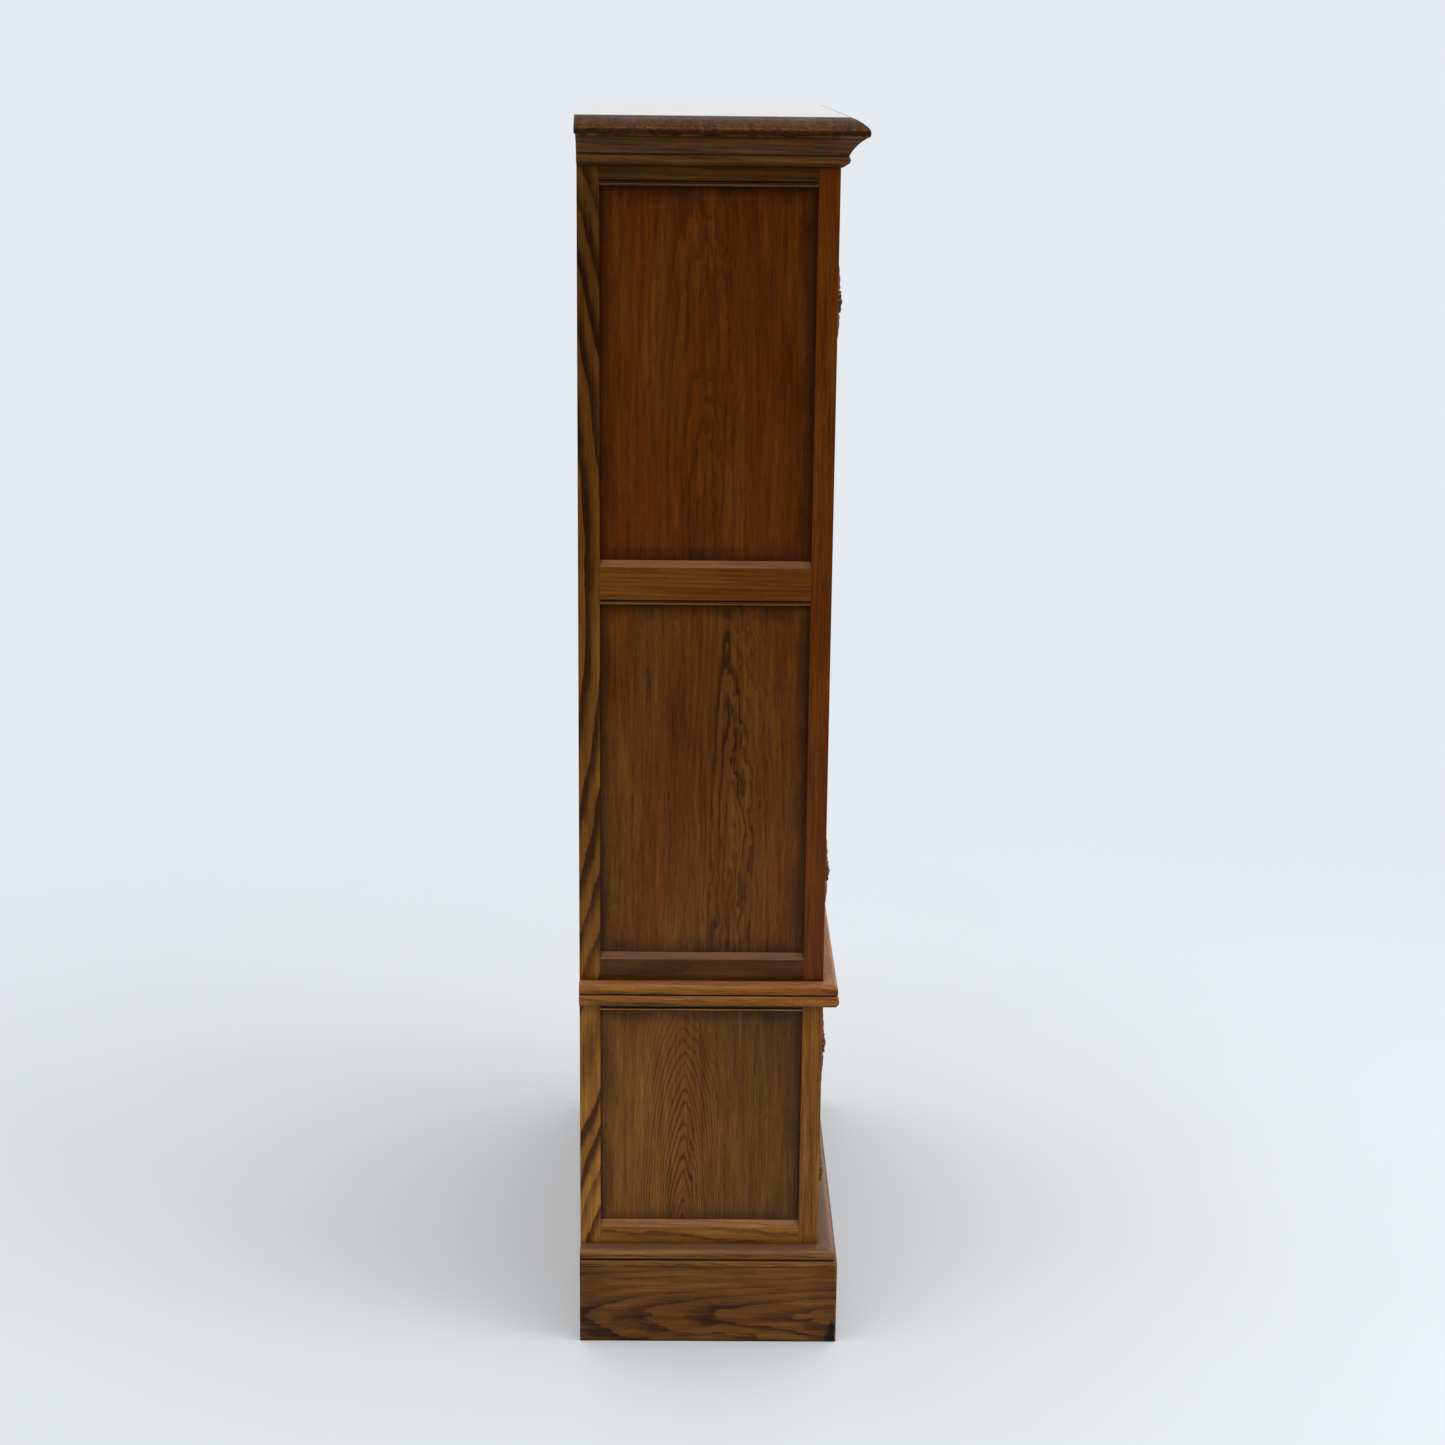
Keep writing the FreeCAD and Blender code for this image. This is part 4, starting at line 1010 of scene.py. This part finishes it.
BAY = (upright_high.z - waist_high.z) / DOORS
DRAWER_WALL = 14.0 * MM
back_low, back_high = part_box("upper_back_board")
drawer_box_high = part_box("drawer_1_box")[1]
BACK_BOARD_WIDTH = (back_high.x - back_low.x) / BACK_BOARDS


def drawer_wall(s, x):
    """1 in the two walls of a drawer, whose grain runs from front to back."""
    return s.above(s.size(x), drawer_box_high.x - DRAWER_WALL)


FRONT_AND_BACK = (MIDDLE - 1.0, 1.0)
posts = oak("uprights", "Z", cut_uprights, (HALVES, FRONT_AND_BACK, (waist_high.z - 3.0, 3.0)), loose=0.4)
rails = oak("side_rails", "Y", cut_rails, (HALVES, WHOLE, (0.03, 0.53)), fleck=0.2)
panels = oak("side_panels", "Z", cut_panels, (HALVES, WHOLE, WHOLE), edges=panel_edge_wax_and_shade, wear=0.0, loose=0.15)
side_mouldings = oak("side_mouldings", "Y", cut_mouldings, (HALVES, WHOLE, MOULDING_HEIGHTS), grime_and_shade=0.85, wear=0.8)
long_mouldings = oak("long_mouldings", "X", cut_mouldings, (WHOLE, WHOLE, MOULDING_HEIGHTS), grime_and_shade=0.85, wear=0.8)
side_plinth = oak("side_plinth", "Y", cut_plinth, (HALVES, WHOLE, WHOLE), wear=0.7, loose=0.15)
long_plinth = oak("long_plinth", "X", cut_plinth, (WHOLE, WHOLE, WHOLE), wear=0.7)
boards = oak("boards", "X", BOARDS, (WHOLE, WHOLE, (waist_high.z + 0.01 - 3.0 * BAY, BAY)))
top_board = oak("top_board", "X", cut_top, (WHOLE, WHOLE, WHOLE), wear=0.8, polish=1.0)
door_stiles = oak("door_stiles", "Z", BOARDS, (HALVES, WHOLE, (waist_high.z, BAY)), wear=0.6)
door_rails = oak("door_rails", "X", BOARDS, (WHOLE, WHOLE, (waist_high.z + 0.5 * BAY, 0.5 * BAY)), wear=0.6)
drawer_fronts = oak("drawer_fronts", "X", DRAWER_FRONTS, (WHOLE, WHOLE, DRAWER_HEIGHTS))
carving = oak("carving", "Z", CARVING, (HALVES, WHOLE, (0.05, 0.21)), grime_and_shade=0.95, wear=0.45)
inside = oak("inside", "X", INSIDE, (WHOLE, WHOLE, (0.05, 0.12)), grime_and_shade=0.5, wear=0.2)
drawer_boxes = oak("drawer_boxes", "X", INSIDE, (HALVES, WHOLE, DRAWER_HEIGHTS), grime_and_shade=0.5, wear=0.2,
                   turned=drawer_wall)
backs = oak("back_boards", "Z", INSIDE, ((back_low.x, BACK_BOARD_WIDTH), WHOLE, WHOLE), grime_and_shade=0.6, wear=0.3,
            loose=2.5, matched=False)
knobs = oak("knobs", "Y", KNOBS, (HALVES, WHOLE, DRAWER_HEIGHTS), grime_and_shade=0.9, wear=0.6)
METALS_AND_GLASS = {
    "clear_glass": clear_glass("clear_glass"),
    "lead": lead("lead"),
    "aged_brass": brass("aged_brass"),
}


LOOKS = (
    ("*_back_board", backs), ("cornice_top_board", top_board), ("*_side_panels", panels), ("*_stiles", posts),
    ("*_side_rails", rails), ("plinth_board_front", long_plinth), ("plinth_board_*", side_plinth),
    ("*_moulding_front", long_mouldings), ("*_moulding_*", side_mouldings), ("drawer_*_front", drawer_fronts),
    ("drawer_*_box", drawer_boxes),
)


def material_for(name, slot_name):
    if slot_name in METALS_AND_GLASS:
        return METALS_AND_GLASS[slot_name]
    for pattern, material in LOOKS:
        if fnmatch(name, pattern):
            return material
    return inside if slot_name == "oak_inside" else boards


ARRIS = 0.8 * MM
MOULDING_ARRIS = 0.5 * MM
# Pieces that need no rounding here, most because finer ones replace them, and pieces that run in grooves
PLAIN = ("glass", "cames", "frame", "motifs", "knobs", "box", "cornice_top_board", "back_board")
RUNNING = ("guide_strips", "shoes")

for name, item in nodes.items():
    slot_name = item.material_slots[0].material.name
    item.material_slots[0].material = material_for(name, slot_name)
    if name.endswith(RUNNING):
        soften(item)
    elif not name.endswith(PLAIN):
        soften(item, MOULDING_ARRIS if "moulding" in name else ARRIS)

make_top_board(top_board)
make_back_boards("upper_back_board", backs)
make_back_boards("base_back_board", backs)
make_motifs(carving)
for number in range(1, DOORS + 1):
    make_door_frame(number, door_stiles, door_rails)
    make_cames(number, METALS_AND_GLASS["lead"])
    make_knobs(f"door_{number}_knobs", f"door_{number}", METALS_AND_GLASS["aged_brass"])
for number in range(1, DRAWERS + 1):
    make_drawer_moulding(number, long_mouldings)
    make_knobs(f"drawer_{number}_knobs", f"drawer_{number}", knobs)


# ---- floor, light and camera

CAMERA_DISTANCE = 3.568
CAMERA_HEIGHT = 1.9105
CAMERA_Y = 0.0348
CAMERA_PITCH = math.radians(14.70)
CAMERA_YAW = math.radians(0.705)
CAMERA_ROLL = math.radians(0.628)
LENS = 63.43
SENSOR = 36.0


def make_floor():
    shape = bmesh.new()
    bmesh.ops.create_circle(shape, cap_ends=True, segments=128, radius=FLOOR_RADIUS)
    floor = add_mesh("floor", shape, floor_paint("floor_paint"))


def make_world():
    """A pale studio. It looks even all round, and lights the object from above and from behind it."""
    world = bpy.data.worlds.new("studio")
    bpy.context.scene.world = world
    world.use_nodes = True
    s = Nodes(world.node_tree)
    x, y, z = s.split(s.add("ShaderNodeTexCoord").outputs["Generated"])
    horizon = s.spread(x, -0.55, 0.85, 0.0, HORIZON_STRENGTH)
    lighting = s.add("ShaderNodeBackground")
    s.feed(lighting.inputs["Strength"], s.pick(s.spread(z, 0.04, 0.75), horizon, SKY_STRENGTH))
    seen = s.add("ShaderNodeBackground")
    s.feed(seen.inputs["Color"], (*STUDIO, 1.0))
    from_camera = s.add("ShaderNodeLightPath").outputs["Is Camera Ray"]
    output = s.add("ShaderNodeOutputWorld")
    s.feed(output.inputs["Surface"], s.blend(from_camera, lighting.outputs[0], seen.outputs[0]))


def add_light(name, place, target, size, power):
    lamp = bpy.data.lights.new(name, "AREA")
    lamp.shape = "SQUARE"
    lamp.size = size
    lamp.energy = power
    item = add_object(name, lamp)
    item.location = place
    item.visible_glossy = False
    item.rotation_euler = (Vector(target) - Vector(place)).to_track_quat("-Z", "Y").to_euler()


def make_camera():
    level = math.cos(CAMERA_PITCH)
    forward = Vector((level * math.cos(CAMERA_YAW), -level * math.sin(CAMERA_YAW), -math.sin(CAMERA_PITCH)))
    right = forward.cross(Vector((0, 0, 1))).normalized()
    up = right.cross(forward)
    tilted = math.cos(CAMERA_ROLL) * right + math.sin(CAMERA_ROLL) * up
    upward = -math.sin(CAMERA_ROLL) * right + math.cos(CAMERA_ROLL) * up
    data = bpy.data.cameras.new("camera")
    data.lens = LENS
    data.sensor_width = SENSOR
    data.clip_end = 100.0
    camera = add_object("camera", data)
    turn = Matrix((tilted, upward, -forward)).transposed()
    place = Vector((-SIDE - CAMERA_DISTANCE, CAMERA_Y, CAMERA_HEIGHT))
    camera.matrix_world = Matrix.Translation(place) @ turn.to_4x4()
    bpy.context.scene.camera = camera


make_floor()
make_world()
add_light("key", (-1.3, -3.4, 2.9), (0.0, 0.0, 0.7), 2.8, 52.0)
add_light("fill", (-2.6, 2.8, 2.6), (0.0, 0.0, 0.8), 2.0, 10.0)
make_camera()
bpy.context.scene.view_settings.view_transform = "Standard"
